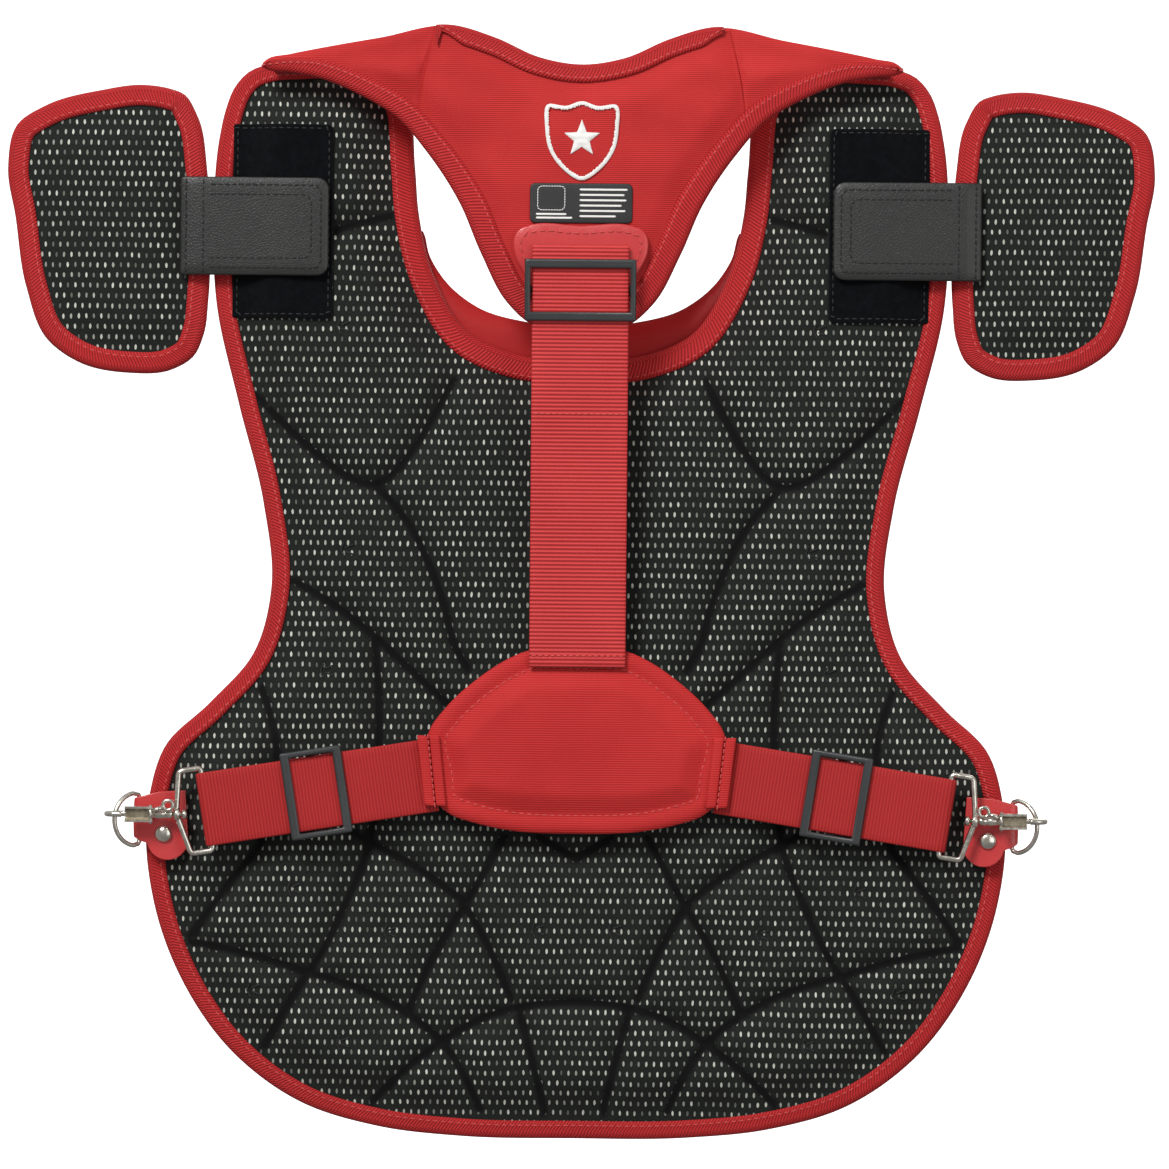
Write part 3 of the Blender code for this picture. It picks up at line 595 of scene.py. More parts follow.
def stitches(name, paths, look, body, pitch=4.0, length=2.7, radius=0.42, closed=True, **extra):
    """Rows of thread stitches, each a small lozenge that lies along its path (n, 3)."""
    turns = np.radians(np.arange(0, 360, 60))
    verts, faces = [], []
    for path in paths if isinstance(paths, list) else [paths]:
        path = resample(rejoined(path) if closed else path, pitch, closed)
        after = np.roll(path, -1, 0) - path
        if not closed:
            after[-1] = after[-2]
        for at, along in zip(path, after):
            along = unit(along)
            side = unit(np.cross(along, (0, 1, 0)))
            up = np.cross(side, along)
            first = len(verts)
            for t, r in ((-0.5, 0.35), (-0.3, 1.0), (0.3, 1.0), (0.5, 0.35)):
                for a in turns:
                    spoke = side * np.cos(a) + up * np.sin(a)
                    verts.append(at + along * t * length + radius * r * spoke)
            for ring in (first, first + 6, first + 12):
                for k in range(6):
                    a, b = ring + k, ring + (k + 1) % 6
                    faces.append((a, b, b + 6, a + 6))
            faces.append(tuple(first + k for k in reversed(range(6))))
            faces.append(tuple(first + 18 + k for k in range(6)))
    return piece(name, verts, faces, look, body, **extra)


def tape_stitches(name, loop, middle, half, body, **extra):
    """The stitches through a tape, on its near and its far face."""
    for face, way in (("near", -1), ("far", 1)):
        path = raised(loop, middle + way * half * 0.93)
        stitches(f"{name}_{face}", path, THREAD_RED, body, **extra)


def ribbon(name, path, across, width, look, body, start=0.0, **extra):
    """Webbing along a path (n, 3), rounded at its edges."""
    path = resample(np.array(path, float), 2.0, False)
    across = unit(np.array(across, float))
    along = np.gradient(path, axis=0)
    along /= np.linalg.norm(along, axis=1)[:, None]
    normal = np.cross(along, across)
    half, h = width / 2, WEB / 2
    section = [(-half, 0), (-half + 0.25, -0.75 * h), (-half + 0.9, -h)]
    section += [(x, -h) for x in np.linspace(-half + 4, half - 4, 9)]
    section += [(half - 0.9, -h), (half - 0.25, -0.75 * h), (half, 0)]
    section += [(x, -y) for x, y in reversed(section[1:-1])]
    ring = len(section)
    verts, uv = [], []
    for at, out, length in zip(path, normal, travelled(path)):
        for a, d in section:
            verts.append(at + across * a + out * d)
            uv.append((start + length, a))
    faces = []
    for first in range(0, (len(path) - 1) * ring, ring):
        for k in range(ring):
            a, b = first + k, first + (k + 1) % ring
            faces.append((a, a + ring, b + ring, b))
    last = (len(path) - 1) * ring
    faces.append(tuple(range(ring)))
    faces.append(tuple(last + k for k in reversed(range(ring))))
    made = piece(name, verts, faces, look, body, uv=uv, **extra)
    straighten(made)
    return made


def straighten(made, merge=None):
    """Turns every face outward, once points closer than the merge distance are joined."""
    mesh = bmesh.new()
    mesh.from_mesh(made.data)
    if merge is not None:
        bmesh.ops.remove_doubles(mesh, verts=mesh.verts, dist=merge)
    bmesh.ops.recalc_face_normals(mesh, faces=mesh.faces)
    mesh.to_mesh(made.data)
    mesh.free()


def wire(name, points, radii, look, body, sides=20, closed=False, **extra):
    """Round wire or turned metal along a path in millimetres."""
    points = np.array(points, float)
    count = len(points)
    radii = np.broadcast_to(np.asarray(radii, float), (count,))
    across = None
    verts, faces = [], []
    for i in range(count):
        after = points[(i + 1) % count] if closed or i < count - 1 else points[i]
        before = points[i - 1] if closed or i else points[i]
        along = unit(after - before)
        if across is None:
            across = np.cross(along, (0.3, 0.2, 1.0))
        across = unit(across - along * (across @ along))
        other = np.cross(along, across)
        for a in np.linspace(0, 2 * np.pi, sides, endpoint=False):
            verts.append(points[i] + radii[i] * (across * np.cos(a) + other * np.sin(a)))
    for i in range(count if closed else count - 1):
        here, there = i * sides, (i + 1) % count * sides
        for k in range(sides):
            beside = (k + 1) % sides
            faces.append((here + k, here + beside, there + beside, there + k))
    if not closed:
        faces.append(tuple(reversed(range(sides))))
        faces.append(tuple((count - 1) * sides + k for k in range(sides)))
    straighten(piece(name, verts, faces, look, body, **extra))


# ---------------------------------------------------------------- body


def body_half(points, depth):
    """Half thickness of the body, pinched at its seams by the depth, but never into the foam."""
    base = swell(loop_distance(points, BODY_LOOP), RIM, PUFF, RIM_WIDTH, SWELL_WIDTH)
    near = line_distance(points, SEAMS)
    pinch = depth * (1 - swell(near, 0, 1, -1.0, 15.0) ** 0.45)
    for mark in TACKS + [(-x, z) for x, z in TACKS]:
        away = np.linalg.norm(points - np.array(mark), axis=1)
        pinch = pinch + 1.6 * np.exp(-((away / 4.5) ** 2))
    fade = np.clip((base - RIM) / (PUFF - RIM), 0, 1)
    foam = foam_half(points)
    room = np.where(foam > 0, foam + FOAM_ROOM, RIM)
    return np.maximum(base - pinch * fade, room)


def foam_tree():
    """All the foam under the liner as one searchable surface, in millimetres."""
    verts, faces = [], []
    for name, node in frame["nodes"].items():
        if "foam" in name:
            first = len(verts)
            verts += [node.matrix_world @ v.co / MM for v in node.data.vertices]
            faces += [tuple(first + i for i in f.vertices) for f in node.data.polygons]
    return BVHTree.FromPolygons(verts, faces)


def foam_half(points):
    """Half thickness of the foam at each point, 0 where there is none."""
    found = np.zeros(len(points))
    for k, (x, z) in enumerate(points):
        hit = FOAM.ray_cast(Vector((x, -100, z)), Vector((0, 1, 0)))[0]
        if hit is not None:
            found[k] = panel_y(x) - hit.y
    return found


FOAM = foam_tree()


def make_body():
    """The liner, the cover, and the tape, collar and stitches that go with them."""
    edge = inset(BODY_LOOP, 1.5)

    def ripple(points):
        """Slack in the mesh between seams."""
        x, z = points[:, 0], points[:, 1]
        return 0.35 * np.sin(x / 9 + 2 * np.sin(z / 31)) * np.sin(z / 13 + np.cos(x / 23))

    def liner(points):
        fade = np.clip(loop_distance(points, BODY_LOOP) / 30 - 0.4, 0, 1)
        return panel_y(points[:, 0]) - body_half(points, LINER_PINCH) + ripple(points) * fade

    def cover(points):
        return panel_y(points[:, 0]) + body_half(points, COVER_PINCH)

    rings = (4.0, 8.0, 11.0)
    creases = [resample(line, 2.5, False) for line in SEAMS]
    made = padding(
        "liner", edge, 3.2, liner, lambda p: liner(p) + SHEET, LINER, "chest", rings, creases,
        replaces="chest_liner",
    )
    mark_seams(made)
    made = padding(
        "cover", edge, 3.6, lambda p: cover(p) - SHEET, cover, COVER, "chest", rings, creases,
        replaces="chest_cover",
    )
    neck = (np.abs(BODY_LOOP[:, 0]) < 96) & (BODY_LOOP[:, 1] > -140)
    width = np.where(neck, NECK_TAPE_WIDTH, BODY_TAPE_WIDTH)
    width = np.convolve(np.tile(width, 3), np.ones(9) / 9, "same")[len(width) : 2 * len(width)]
    band(
        "body_binding", BODY_LOOP, panel_y, BODY_TAPE_HALF, width, TAPE, "chest",
        replaces="chest_binding",
    )
    at = inset(BODY_LOOP, width - STITCH_IN)
    tape_stitches("body_binding_stitches", at, panel_y(at[:, 0]), BODY_TAPE_HALF, "chest")
    make_collar()
    make_seam_thread(cover)
    make_tacks(liner)


def mark_seams(made):
    """Writes how close each point of the mesh is to a quilting seam; the liner's material closes its
    holes there and also paints shade into the creases.
    """
    spots = np.empty(len(made.data.vertices) * 3)
    made.data.vertices.foreach_get("co", spots)
    near = line_distance(spots.reshape(-1, 3)[:, (0, 2)] / MM, SEAMS)
    layer = made.data.attributes.new("seam", "FLOAT", "POINT")
    layer.data.foreach_set("value", np.clip(1 - near / 3.2, 0, 1))


def make_collar():
    """The plain pad behind the neck's edge."""
    loop = anticlockwise(smooth(mirrored(COLLAR), 3))

    def far(points, way=1):
        half = swell(loop_distance(points, loop), 1.2, 3.4, 0, 8)
        return panel_y(points[:, 0]) + 8.0 + way * half

    made = padding(
        "collar_pad", loop, 3.2, lambda p: far(p, -1), far, SMOOTH_RED, "chest",
        replaces="neck_collar_pad",
    )


def make_seam_thread(surface):
    """Thread sunk in the bottom of each quilting seam of the cover."""
    rows = []
    for line in SEAMS:
        fine = resample(line, 1.5, False)
        fine = fine[loop_distance(fine, BODY_LOOP) > 11]
        if len(fine) > 4:
            rows.append(raised(fine, surface(fine) + 0.15))
    stitches("cover_seams", rows, THREAD_RED, "chest", 3.4, 2.5, 0.33, closed=False)


def make_tacks(surface):
    """The small rings of tacking stitches that hold the liner to the foam."""
    paths = []
    for x, z in TACKS:
        for sign in (-1, 1):
            for turn in (0.4, 1.2, 2.0, 2.8):
                out = 2.6 * np.array([np.cos(2 * turn), np.sin(2 * turn)])
                middle = np.array([sign * x, z]) + out
                along = 1.6 * np.array([np.cos(turn), np.sin(turn)])
                line = np.array([middle - along, middle, middle + along])
                paths.append(raised(line, surface(line) - 0.2))
    stitches("liner_tacks", paths, THREAD_DARK, "chest", 1.6, 1.6, 0.5, closed=False)


# ---------------------------------------------------------------- wings


def rounded(low_x, high_x, low_z, high_z, radii, spacing=1.5):
    """A rectangle with its own radius at each corner, anticlockwise from low x, low z."""
    corners = [(low_x, low_z), (high_x, low_z), (high_x, high_z), (low_x, high_z)]
    points = []
    for (x, z), r, turn in zip(corners, radii, (180, 270, 0, 90)):
        cx = x + r if x == low_x else x - r
        cz = z + r if z == low_z else z - r
        for a in np.radians(np.linspace(turn, turn + 90, 7)):
            points.append((cx + r * np.cos(a), cz + r * np.sin(a)))
    return resample(rejoined(np.array(points)), spacing, True)


def flat_piece(name, loop, y, thick, look, body, pitch=4.0, bulge=0.0, **extra):
    """A thin sheet with rounded edges facing the wearer; y is a number or a function."""

    def front(points):
        edge = loop_distance(points, loop)
        turned = thick * 0.3 * (1 - np.clip(edge / 0.8, 0, 1)) ** 2
        return height(y, points) + turned - bulge * np.clip(edge / 6, 0, 1)

    def back(points):
        return height(y, points) + thick

    return padding(name, loop, pitch, front, back, look, body, (0.4, 0.9), **extra)


def wing_y(x):
    """The wings' middle surface, nearer to the wearer at its outer end."""
    return WING_Y + WING_SLOPE * (np.abs(x) - 200)


def make_wings():
    """Each wing's mesh, cover and binding, the loop patch on the body and the strap."""

    def far(points, way=1):
        half = swell(loop_distance(points, WING_LOOP), WING_RIM, WING_PUFF, 11, 20)
        return wing_y(points[:, 0]) + way * half

    def patch_y(points):
        return panel_y(points[:, 0]) - body_half(points, 0) - 2.0

    edge = inset(WING_LOOP, 1.5)
    seam = inset(WING_LOOP, WING_TAPE_WIDTH - STITCH_IN)
    patch = rounded(129, 181, -115, -14, (3, 1, 1, 3))
    patch_edge = inset(patch, 2.2)
    for side, sign in SIDES:
        body = f"wing_{side}"
        made = padding(
            f"wing_{side}_mesh", edge, 3.4, lambda p: far(p, -1), lambda p: wing_y(p[:, 0]), LINER,
            body, (4.0, 9.0), side=sign, replaces=f"wing_pad_{side}",
        )
        made = padding(
            f"wing_{side}_cover", edge, 3.4, lambda p: wing_y(p[:, 0]), far, COVER, body,
            (4.0, 9.0), side=sign,
        )
        band(
            f"wing_{side}_binding", WING_LOOP, wing_y, BODY_TAPE_HALF, WING_TAPE_WIDTH, TAPE,
            body, side=sign, replaces=f"wing_binding_{side}",
        )
        tape_stitches(
            f"wing_{side}_stitches", seam, wing_y(seam[:, 0]), BODY_TAPE_HALF, body, side=sign
        )
        flat_piece(
            f"loop_patch_{side}_pile", patch, patch_y, 1.4, LOOP, "chest", 3.0, side=sign,
            replaces=f"loop_patch_{side}",
        )
        path = raised(patch_edge, patch_y(patch_edge) - 0.1)
        stitches(f"loop_patch_{side}_stitches", path, THREAD_DARK, "chest", side=sign)
        make_wing_strap(side, sign)


def make_wing_strap(side, sign):
    """The vinyl strap, from the loop patch across the wing's hinge to the wing."""
    low, high, tip, root, straight = -93, -42, 131, 208, 192
    hinge_x, hinge_y, _ = np.array(JOINTS["wing_flap_right"]["pos_m"]) / MM

    def sheet_y(points):
        over_wing = np.clip((points[:, 0] - hinge_x) / 10, 0, 1)
        to_tip = np.clip((150 - points[:, 0]) / 20, 0, 1)
        return hinge_y + 1.2 * over_wing**1.5 + 0.8 * to_tip

    loop = rounded(tip, root, low, high, (6, 1.2, 1.2, 6))
    pieces = [
        flat_piece(
            f"wing_strap_{side}_vinyl", loop, sheet_y, 2.0, VINYL, "chest", 3.0, 0.35, side=sign,
            rides=False, replaces=f"wing_strap_{side} wing_strap_end_{side}",
        )
    ]
    lines = []
    for deep in (4.0, 9.0):
        inner = rounded(tip + deep, straight + 1, low + deep, high - deep, (4, 0.2, 0.2, 4))
        inner = inner[inner[:, 0] < straight]
        gap = int(np.argmax(np.linalg.norm(np.diff(inner, axis=0), axis=1))) + 1
        lines.append(np.roll(inner, -gap, 0))
    for x in (196.0, 205.0):
        lines.append(np.array([(x, low + 2.5), (x, high - 2.5)]))
    for k, line in enumerate(lines):
        pieces.append(stitches(
            f"wing_strap_{side}_thread_{k}", raised(line, sheet_y(line) - 0.42), THREAD_DARK,
            "chest", 3.6, 2.6, 0.36, closed=False, side=sign, rides=False,
        ))
    for made in pieces:
        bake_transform(made)


# ---------------------------------------------------------------- harness


def flat_yoke(x):
    """The yoke's middle surface."""
    return np.full(np.shape(x), YOKE_Y)


def yoke_half(points):
    """Half thickness of the yoke, drawn in at its edge and at its two seams."""
    edge = loop_distance(points, YOKE_LOOP)
    base = swell(edge, YOKE_RIM, YOKE_PUFF, 8, 16) * np.sqrt(np.clip(edge / 2.5, 0.06, 1))
    seam = smooth(YOKE_SEAM, 4, False)
    near = np.clip(line_distance(points, [seam, seam * (-1, 1)]) / 11, 0, 1)
    return np.maximum(base * (0.45 + 0.55 * np.sqrt(near)), 0.5)


def yoke_front(points):
    """The yoke's surface on the wearer's side."""
    return YOKE_Y - yoke_half(points)


def make_yoke():
    """The plate and the two arms, split at the seams, with the arms 1 mm over the plate."""

    def front(points):
        x, z = points[:, 0], points[:, 1]
        ruck = 0.35 * np.sin(z / 5 + x / 17) + 0.3 * np.sin(x / 11 - z / 8)
        return yoke_front(points) - ruck * np.clip(loop_distance(points, YOKE_LOOP) / 25, 0, 1)

    def back(points):
        return YOKE_Y + yoke_half(points)

    seam = smooth(YOKE_SEAM, 2, False)
    low, high = seam[:, 1].min(), seam[:, 1].max()
    inner = inset(YOKE_LOOP, 0.6)
    bound = np.interp(inner[:, 1], seam[:, 1], seam[:, 0])
    plate_loop, arm_loop = [], []
    for (x, z), b in zip(inner, bound):
        plate_loop.append((x, z) if abs(x) <= b + 1 else (np.sign(x) * (b + 1), z))
        if x >= b or (low < z < high and x > b - 14):
            arm_loop.append((max(x, b), z))
    made = padding(
        "yoke_plate_cloth", unique(plate_loop), 3.0, lambda p: front(p) + 0.25, back, PLATE,
        "harness", (1.2, 2.6), replaces="yoke_plate",
    )
    for side, sign in SIDES:
        made = padding(
            f"shoulder_pad_{side}_cloth", unique(arm_loop), 3.0, front, back, PLATE, "harness",
            (1.0,), side=sign, replaces=f"shoulder_pad_{side}",
        )
    make_yoke_tape()
    make_shoulder_seams()


def unique(loop):
    """The loop without points closer than half a millimetre to the one before."""
    loop = np.array(loop)
    return loop[np.linalg.norm(loop - np.roll(loop, 1, 0), axis=1) > 0.5]


def make_shoulder_seams():
    """Tape that joins the harness's arms to the body, behind the arms' ends."""
    loop = rounded(142, 160, 12.2, 16.2, (1, 1, 1, 1))
    for side, sign in SIDES:
        padding(
            f"shoulder_seam_{side}", loop, 3.0, -28.0, -17.4, COVER, "chest", side=sign,
            replaces=f"shoulder_seam_tape_{side}",
        )


def make_yoke_tape():
    """The tape runs round the plate and along the arms' lower edges, not over their tops."""
    reach, z = np.abs(YOKE_LOOP[:, 0]), YOKE_LOOP[:, 1]
    below = np.interp(reach, (0, 60, 90, 140, 160, 168), (13, 13, 11, 9, 6, 3))
    above = np.interp(reach, (0, 60, 75), (9.5, 9.5, 3))
    width = np.where((z > 8) & (reach < 76), above, below)
    bare = (reach > 75) & (inward(YOKE_LOOP)[:, 1] < 0.3)
    band(
        "yoke_edge_binding", YOKE_LOOP, flat_yoke, YOKE_TAPE_HALF, width, TAPE, "harness",
        keep=~bare, replaces="yoke_binding",
    )
    begin = int(np.flatnonzero(bare & ~np.roll(bare, -1))[0]) + 1
    kept = ~np.roll(bare, -begin)
    ends = np.flatnonzero(np.diff(kept.astype(int))) + 1
    for name, way in (("near", -1), ("far", 1)):
        at = inset(YOKE_LOOP, width - 2.2)
        path = np.roll(raised(at, flat_yoke(at[:, 0]) + way * YOKE_TAPE_HALF * 0.93), -begin, 0)
        for k, (first, row) in enumerate(zip((0, *ends), np.split(path, ends))):
            if kept[first] and len(row) > 4:
                stitches(
                    f"yoke_stitches_{name}_{k}", row, THREAD_RED, "harness", 3.6, 2.5, closed=False
                )


def make_anchor():
    """The leather tab, the badge and the plain label on the yoke plate."""
    half = [
        (0, -98), (25, -97), (30, -90), (34.6, -80), (34.6, -73), (32, -68.6), (27, -66.6),
        (0, -66.6),
    ]
    loop = anticlockwise(smooth(mirrored(half), 2))

    def tab_y(points):
        return YOKE_Y - YOKE_PUFF - 2.6 + 0.9 * np.clip((-points[:, 1] - 80) / 18, 0, 1)

    flat_piece(
        "anchor_tab_leather", loop, tab_y, 2.0, LEATHER, "harness", 3.0, 0.3, replaces="anchor_tab"
    )
    edge = inset(loop, 4.0)
    path = raised(edge, tab_y(edge) - 0.35)
    stitches("anchor_tab_stitches", path, THREAD_RED, "harness", 4.4, 3.0, 0.45)
    label = rounded(-26.5, 26.5, -65.2, -44.6, (2.5, 2.5, 2.5, 2.5))
    flat_piece("plain_label", label, lambda p: yoke_front(p) - 0.75, 0.7, LABEL, "harness", 3.0)
    make_badge()
    make_label_bars()


def make_label_bars():
    """Pale woven bars and a square on the label, which carries no words."""

    def bar_y(points):
        return yoke_front(points) - 0.95

    shortenings = (0, 1.5, 0.5, 3.0, 1.0, 6.0)
    rows = [(-1.0, 24.0 - gap, z) for gap, z in zip(shortenings, np.linspace(-47.8, -61.6, 6))]
    rows += [(-23.5, -4.5, -62.5), (-23.5, -7.5, -60.6)]
    for k, (low, high, z) in enumerate(rows):
        bar = rounded(low, high, z - 0.5, z + 0.5, (0.3, 0.3, 0.3, 0.3), 1.0)
        flat_piece(f"label_bar_{k}", bar, bar_y, 0.2, THREAD_WHITE, "harness", 2.0)
    box = rounded(-22.5, -8.5, -58.5, -46.2, (2, 2, 2, 2))
    stitches("label_box", raised(box, bar_y(box)), THREAD_WHITE, "harness", 1.4, 1.3, 0.25)


def make_badge():
    """A plain badge in satin stitch: a shield's outline with a star in it."""
    shield = [(0, -2), (8, -4.5), (18, -4), (19, -16), (17, -27), (10, -37), (0, -43)]
    outline = anticlockwise(resample(rejoined(smooth(mirrored(shield), 1)), 0.8, True))
    satin("badge_shield", outline, inset(outline, 2.0))
    star = []
    for k in range(10):
        turn, reach = np.radians(90 + 36 * k), (10.0, 4.2)[k % 2]
        star.append((reach * np.cos(turn), -21.5 + reach * np.sin(turn)))
    satin("badge_star", anticlockwise(resample(rejoined(np.array(star)), 0.8, True)))


def satin(name, loop, hole=None):
    """Raised stitching over an outline, or between it and the hole inside it."""
    shoulder = 2.2  # how far from the edge the stitching is at its full height
    flat, faces, _ = fill(loop, 0.8, (0.5 if hole is None else 1.0,))
    edge = loop_distance(flat, loop)
    if hole is not None:
        edge = np.minimum(edge, loop_distance(flat, hole)) * shoulder
        middles = np.array([flat[list(f)].mean(0) for f in faces])
        faces = [f for f, gone in zip(faces, inside(middles, hole)) if not gone]
    rise = 0.75 * np.sqrt(np.clip(edge / shoulder, 0, 1))
    ribs = 0.1 * np.sin(flat[:, 1] * 7.0)
    piece(name, raised(flat, yoke_front(flat) - 0.3 - rise - ribs), faces, THREAD_WHITE, "harness")


CENTRE_START, CENTRE_END = np.array([0, -42.6, -77.0]), np.array([0, -28.5, -295.0])
CENTRE_LENGTH = np.linalg.norm(CENTRE_END - CENTRE_START)


def make_centre_strap():
    """The webbing from the tab to the back pad, its doubled tail and its tri-glide."""
    across = np.array([1.0, 0, 0])
    along = unit(CENTRE_END - CENTRE_START)
    depth = np.cross(across, along)
    tail_start, tail_end, tail_depth = 43, 90, 5.1
    path = [CENTRE_START + along * s for s in np.linspace(0, CENTRE_LENGTH, 60)]
    ribbon(
        "centre_strap", path, across, CENTRE_WEB, WEBBING, "harness", replaces="centre_webbing"
    )
    tail = [CENTRE_START + along * s + depth * tail_depth for s in np.linspace(tail_start, tail_end, 12)]
    ribbon(
        "centre_strap_tail", tail, across, CENTRE_WEB, WEBBING, "harness", start=tail_start,
        replaces="centre_webbing_tail",
    )
    for k, s in enumerate((CENTRE_LENGTH - 6, tail_end - 3)):
        at = CENTRE_START + along * s - depth * (WEB / 2 + 0.05)
        line = np.array([at + across * x for x in np.linspace(-22.5, 22.5, 10)])
        stitches(f"centre_strap_stitches_{k}", line, THREAD_RED, "harness", 3.2, 2.4, closed=False)
    glide(
        "centre_glide", CENTRE_START, along, across, 23, CENTRE_WEB, "centre_slider",
        "centre_tri_glide", 1,
    )


def glide(name, strap, along, across, centre, web, body, node, side):
    """A moulded tri-glide: frame in front of the webbing, centre bar behind it.

    It is a grid of blocks that lie along the strap, through it and across it."""
    depth = np.cross(across, along)
    inner = web / 2 + 0.8
    outer, reach, bar, middle = inner + 3.0, 16.0, 4.6, 2.3
    ticks = (
        (-reach, bar - reach, -middle, middle, reach - bar, reach),
        (-4.0, -1.3, 1.3, 3.7),
        (-outer, -inner, inner, outer),
    )
    cells = {(x, 0, z) for x in range(5) for z in (0, 2)} | {(0, 0, 1), (4, 0, 1)}
    cells |= {(2, y, z) for y in (1, 2) for z in (0, 2)} | {(2, 2, 1)}
    index, verts, faces = {}, [], []

    def corner(place):
        if place not in index:
            index[place] = len(verts)
            s, d, a = (row[k] for row, k in zip(ticks, place))
            verts.append(strap + along * (centre + s) + depth * d + across * a)
        return index[place]

    for cell in cells:
        for axis in range(3):
            for step in (0, 1):
                beside = list(cell)
                beside[axis] += 2 * step - 1
                if tuple(beside) in cells:
                    continue
                face = []
                for one, two in ((0, 0), (1, 0), (1, 1), (0, 1)):
                    place = list(cell)
                    place[axis] += step
                    place[(axis + 1) % 3] += one
                    place[(axis + 2) % 3] += two
                    face.append(corner(tuple(place)))
                faces.append(face)
    made = piece(name, verts, faces, PLASTIC, body, side=side, replaces=node)
    straighten(made)
    bevel = made.modifiers.new("bevel", "BEVEL")
    bevel.width = 1.1 * MM
    bevel.segments = 4
    bevel.limit_method = "ANGLE"
    bevel.harden_normals = False
    made.data.set_sharp_from_angle(angle=np.radians(35))


def make_back_pad():
    """The pad, crowned inside its stitch line, with a folded strip at each side."""
    seam = 9.5  # from the pad's edge to its stitches

    def front(points, way=-1):
        edge = loop_distance(points, PAD_LOOP)
        ledge = 2.2 * np.sqrt(np.clip(edge / 3, 0.05, 1))
        groove = 0.9 * np.exp(-(((edge - seam) / 1.5) ** 2))
        return PAD_Y + way * (ledge + swell(edge, 0, 3.4, seam, 12) - groove)

    made = padding(
        "back_pad_cloth", PAD_LOOP, 2.4, front, lambda p: front(p, 1), PAD, "harness",
        (0.7, 1.8, 3.2), replaces="back_pad",
    )
    edge = inset(PAD_LOOP, seam)
    path = raised(edge, front(edge) - 0.15)
    stitches("back_pad_stitches", path, THREAD_RED, "harness", 4.0, 2.8)
    for side, sign in SIDES:
        for k in (0, 1):
            make_pad_strip(side, sign, k)
        row = np.array([(73.2, PAD_Y - 6.1, -367), (77.1, PAD_Y - 6.1, -331.5)])
        stitches(
            f"pad_strip_{side}_stitches", row, THREAD_RED, "harness", 3.4, 2.7, 0.4,
            closed=False, side=sign,
        )


def make_pad_strip(side, sign, k):
    """One of the two layers folded where a waist strap leaves the pad."""
    low, high, width = (67.3 + 5.7 * k, -367.5), (71.2 + 6.1 * k, -331), 5.5
    strip = np.array([low, (low[0] + width, low[1]), (high[0] + width, high[1]), high])
    loop = anticlockwise(resample(rejoined(strip), 2.0, True))

    def ridge(points):
        edge = np.clip(loop_distance(points, loop) / 1.5, 0, 1)
        return PAD_Y - 4.4 - 0.9 * k - 0.9 * np.sqrt(1 - (1 - edge) ** 2)

    padding(
        f"pad_strip_{side}_{k}", loop, 1.2, ridge, PAD_Y, PAD, "harness", (0.4, 0.9), side=sign
    )


# ---------------------------------------------------------------- waist straps

WAIST_START = np.array([79.0, -24.1, -352.3])
WAIST_ALONG = unit(np.array([119.0, -16.4, -18.7]))
WAIST_ACROSS = unit(np.array([-WAIST_ALONG[2], 0, WAIST_ALONG[0]]))
WAIST_DEPTH = np.cross(WAIST_ACROSS, WAIST_ALONG)
LOOP_BAR, WAIST_BUCKLE = 113.9, 57.2  # how far along the strap they are
FOLD_DEPTH = WEB / 2 + 0.3 + WIRE
HOOK = np.array(JOINTS["hook_swivel_right"]["pos_m"]) / MM
RING_BAR = np.array(JOINTS["ring_swing_right"]["pos_m"]) / MM


def strap_point(s, depth=0.0, across=0.0):
    """The point s millimetres along the waist strap, away from the wearer by the depth."""
    return WAIST_START + WAIST_ALONG * s + WAIST_DEPTH * depth + WAIST_ACROSS * across


def make_waist():
    """The two straps of each side, with the metal pieces that hold them."""
    joint, hold = 41.6, 31  # where the two straps meet, and where the folded one ends
    for side, sign in SIDES:
        inner = [strap_point(s) for s in np.linspace(-5, 42, 24)]
        made = ribbon(
            f"waist_{side}_inner", inner, WAIST_ACROSS, WAIST_WEB, WAIST_WEBBING, "chest",
            start=-5, side=sign, rides=False, replaces=f"waist_webbing_inner_{side}",
        )
        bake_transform(made)
        path = [strap_point(s) for s in np.linspace(joint, LOOP_BAR, 30)]
        for a in np.radians(np.linspace(-90, 90, 14))[1:]:
            path.append(strap_point(LOOP_BAR + FOLD_DEPTH * np.cos(a), FOLD_DEPTH * (1 + np.sin(a))))
        path += [strap_point(s, 2 * FOLD_DEPTH) for s in np.linspace(LOOP_BAR - 2, hold, 30)]
        ribbon(
            f"waist_{side}_outer", path, WAIST_ACROSS, WAIST_WEB, WAIST_WEBBING, "chest",
            start=joint, side=sign,
            replaces=f"waist_webbing_{side} waist_webbing_return_{side}",
        )
        glide(
            f"waist_glide_{side}", WAIST_START, WAIST_ALONG, WAIST_ACROSS, WAIST_BUCKLE,
            WAIST_WEB, f"slider_{side}", f"waist_tri_glide_{side}", sign,
        )
        make_loop(side, sign)
        make_hook(side, sign)
        make_gate(side, sign)
        make_ring(side, sign)
        make_tab(side, sign)


def make_loop(side, sign):
    """The bent wire that the strap folds round, and the boss that the hook turns in."""
    corners = np.array([(0, 21.5), (11.4, 21.5), (16, 0), (11.4, -21.5), (0, -21.5)])
    path = []
    for before, at, after in zip(np.roll(corners, 1, 0), corners, np.roll(corners, -1, 0)):
        for t in np.linspace(0, 1, 6):
            path.append(at + 2.2 * (unit(before - at) * (1 - t) ** 2 + unit(after - at) * t**2))
    points = [strap_point(LOOP_BAR + s, FOLD_DEPTH, v) for s, v in path]
    wire(
        f"wire_loop_{side}_wire", points, 1.5, NICKEL, "chest", 18, True, side=sign,
        replaces=f"wire_loop_{side}",
    )
    _, y, z = HOOK
    boss = [(204.7, 2.9), (205.0, 3.4), (207.2, 3.4), (207.5, 2.9)]
    turned(f"wire_loop_{side}_boss", [(x, y, z, r) for x, r in boss], "chest", 24, side=sign)


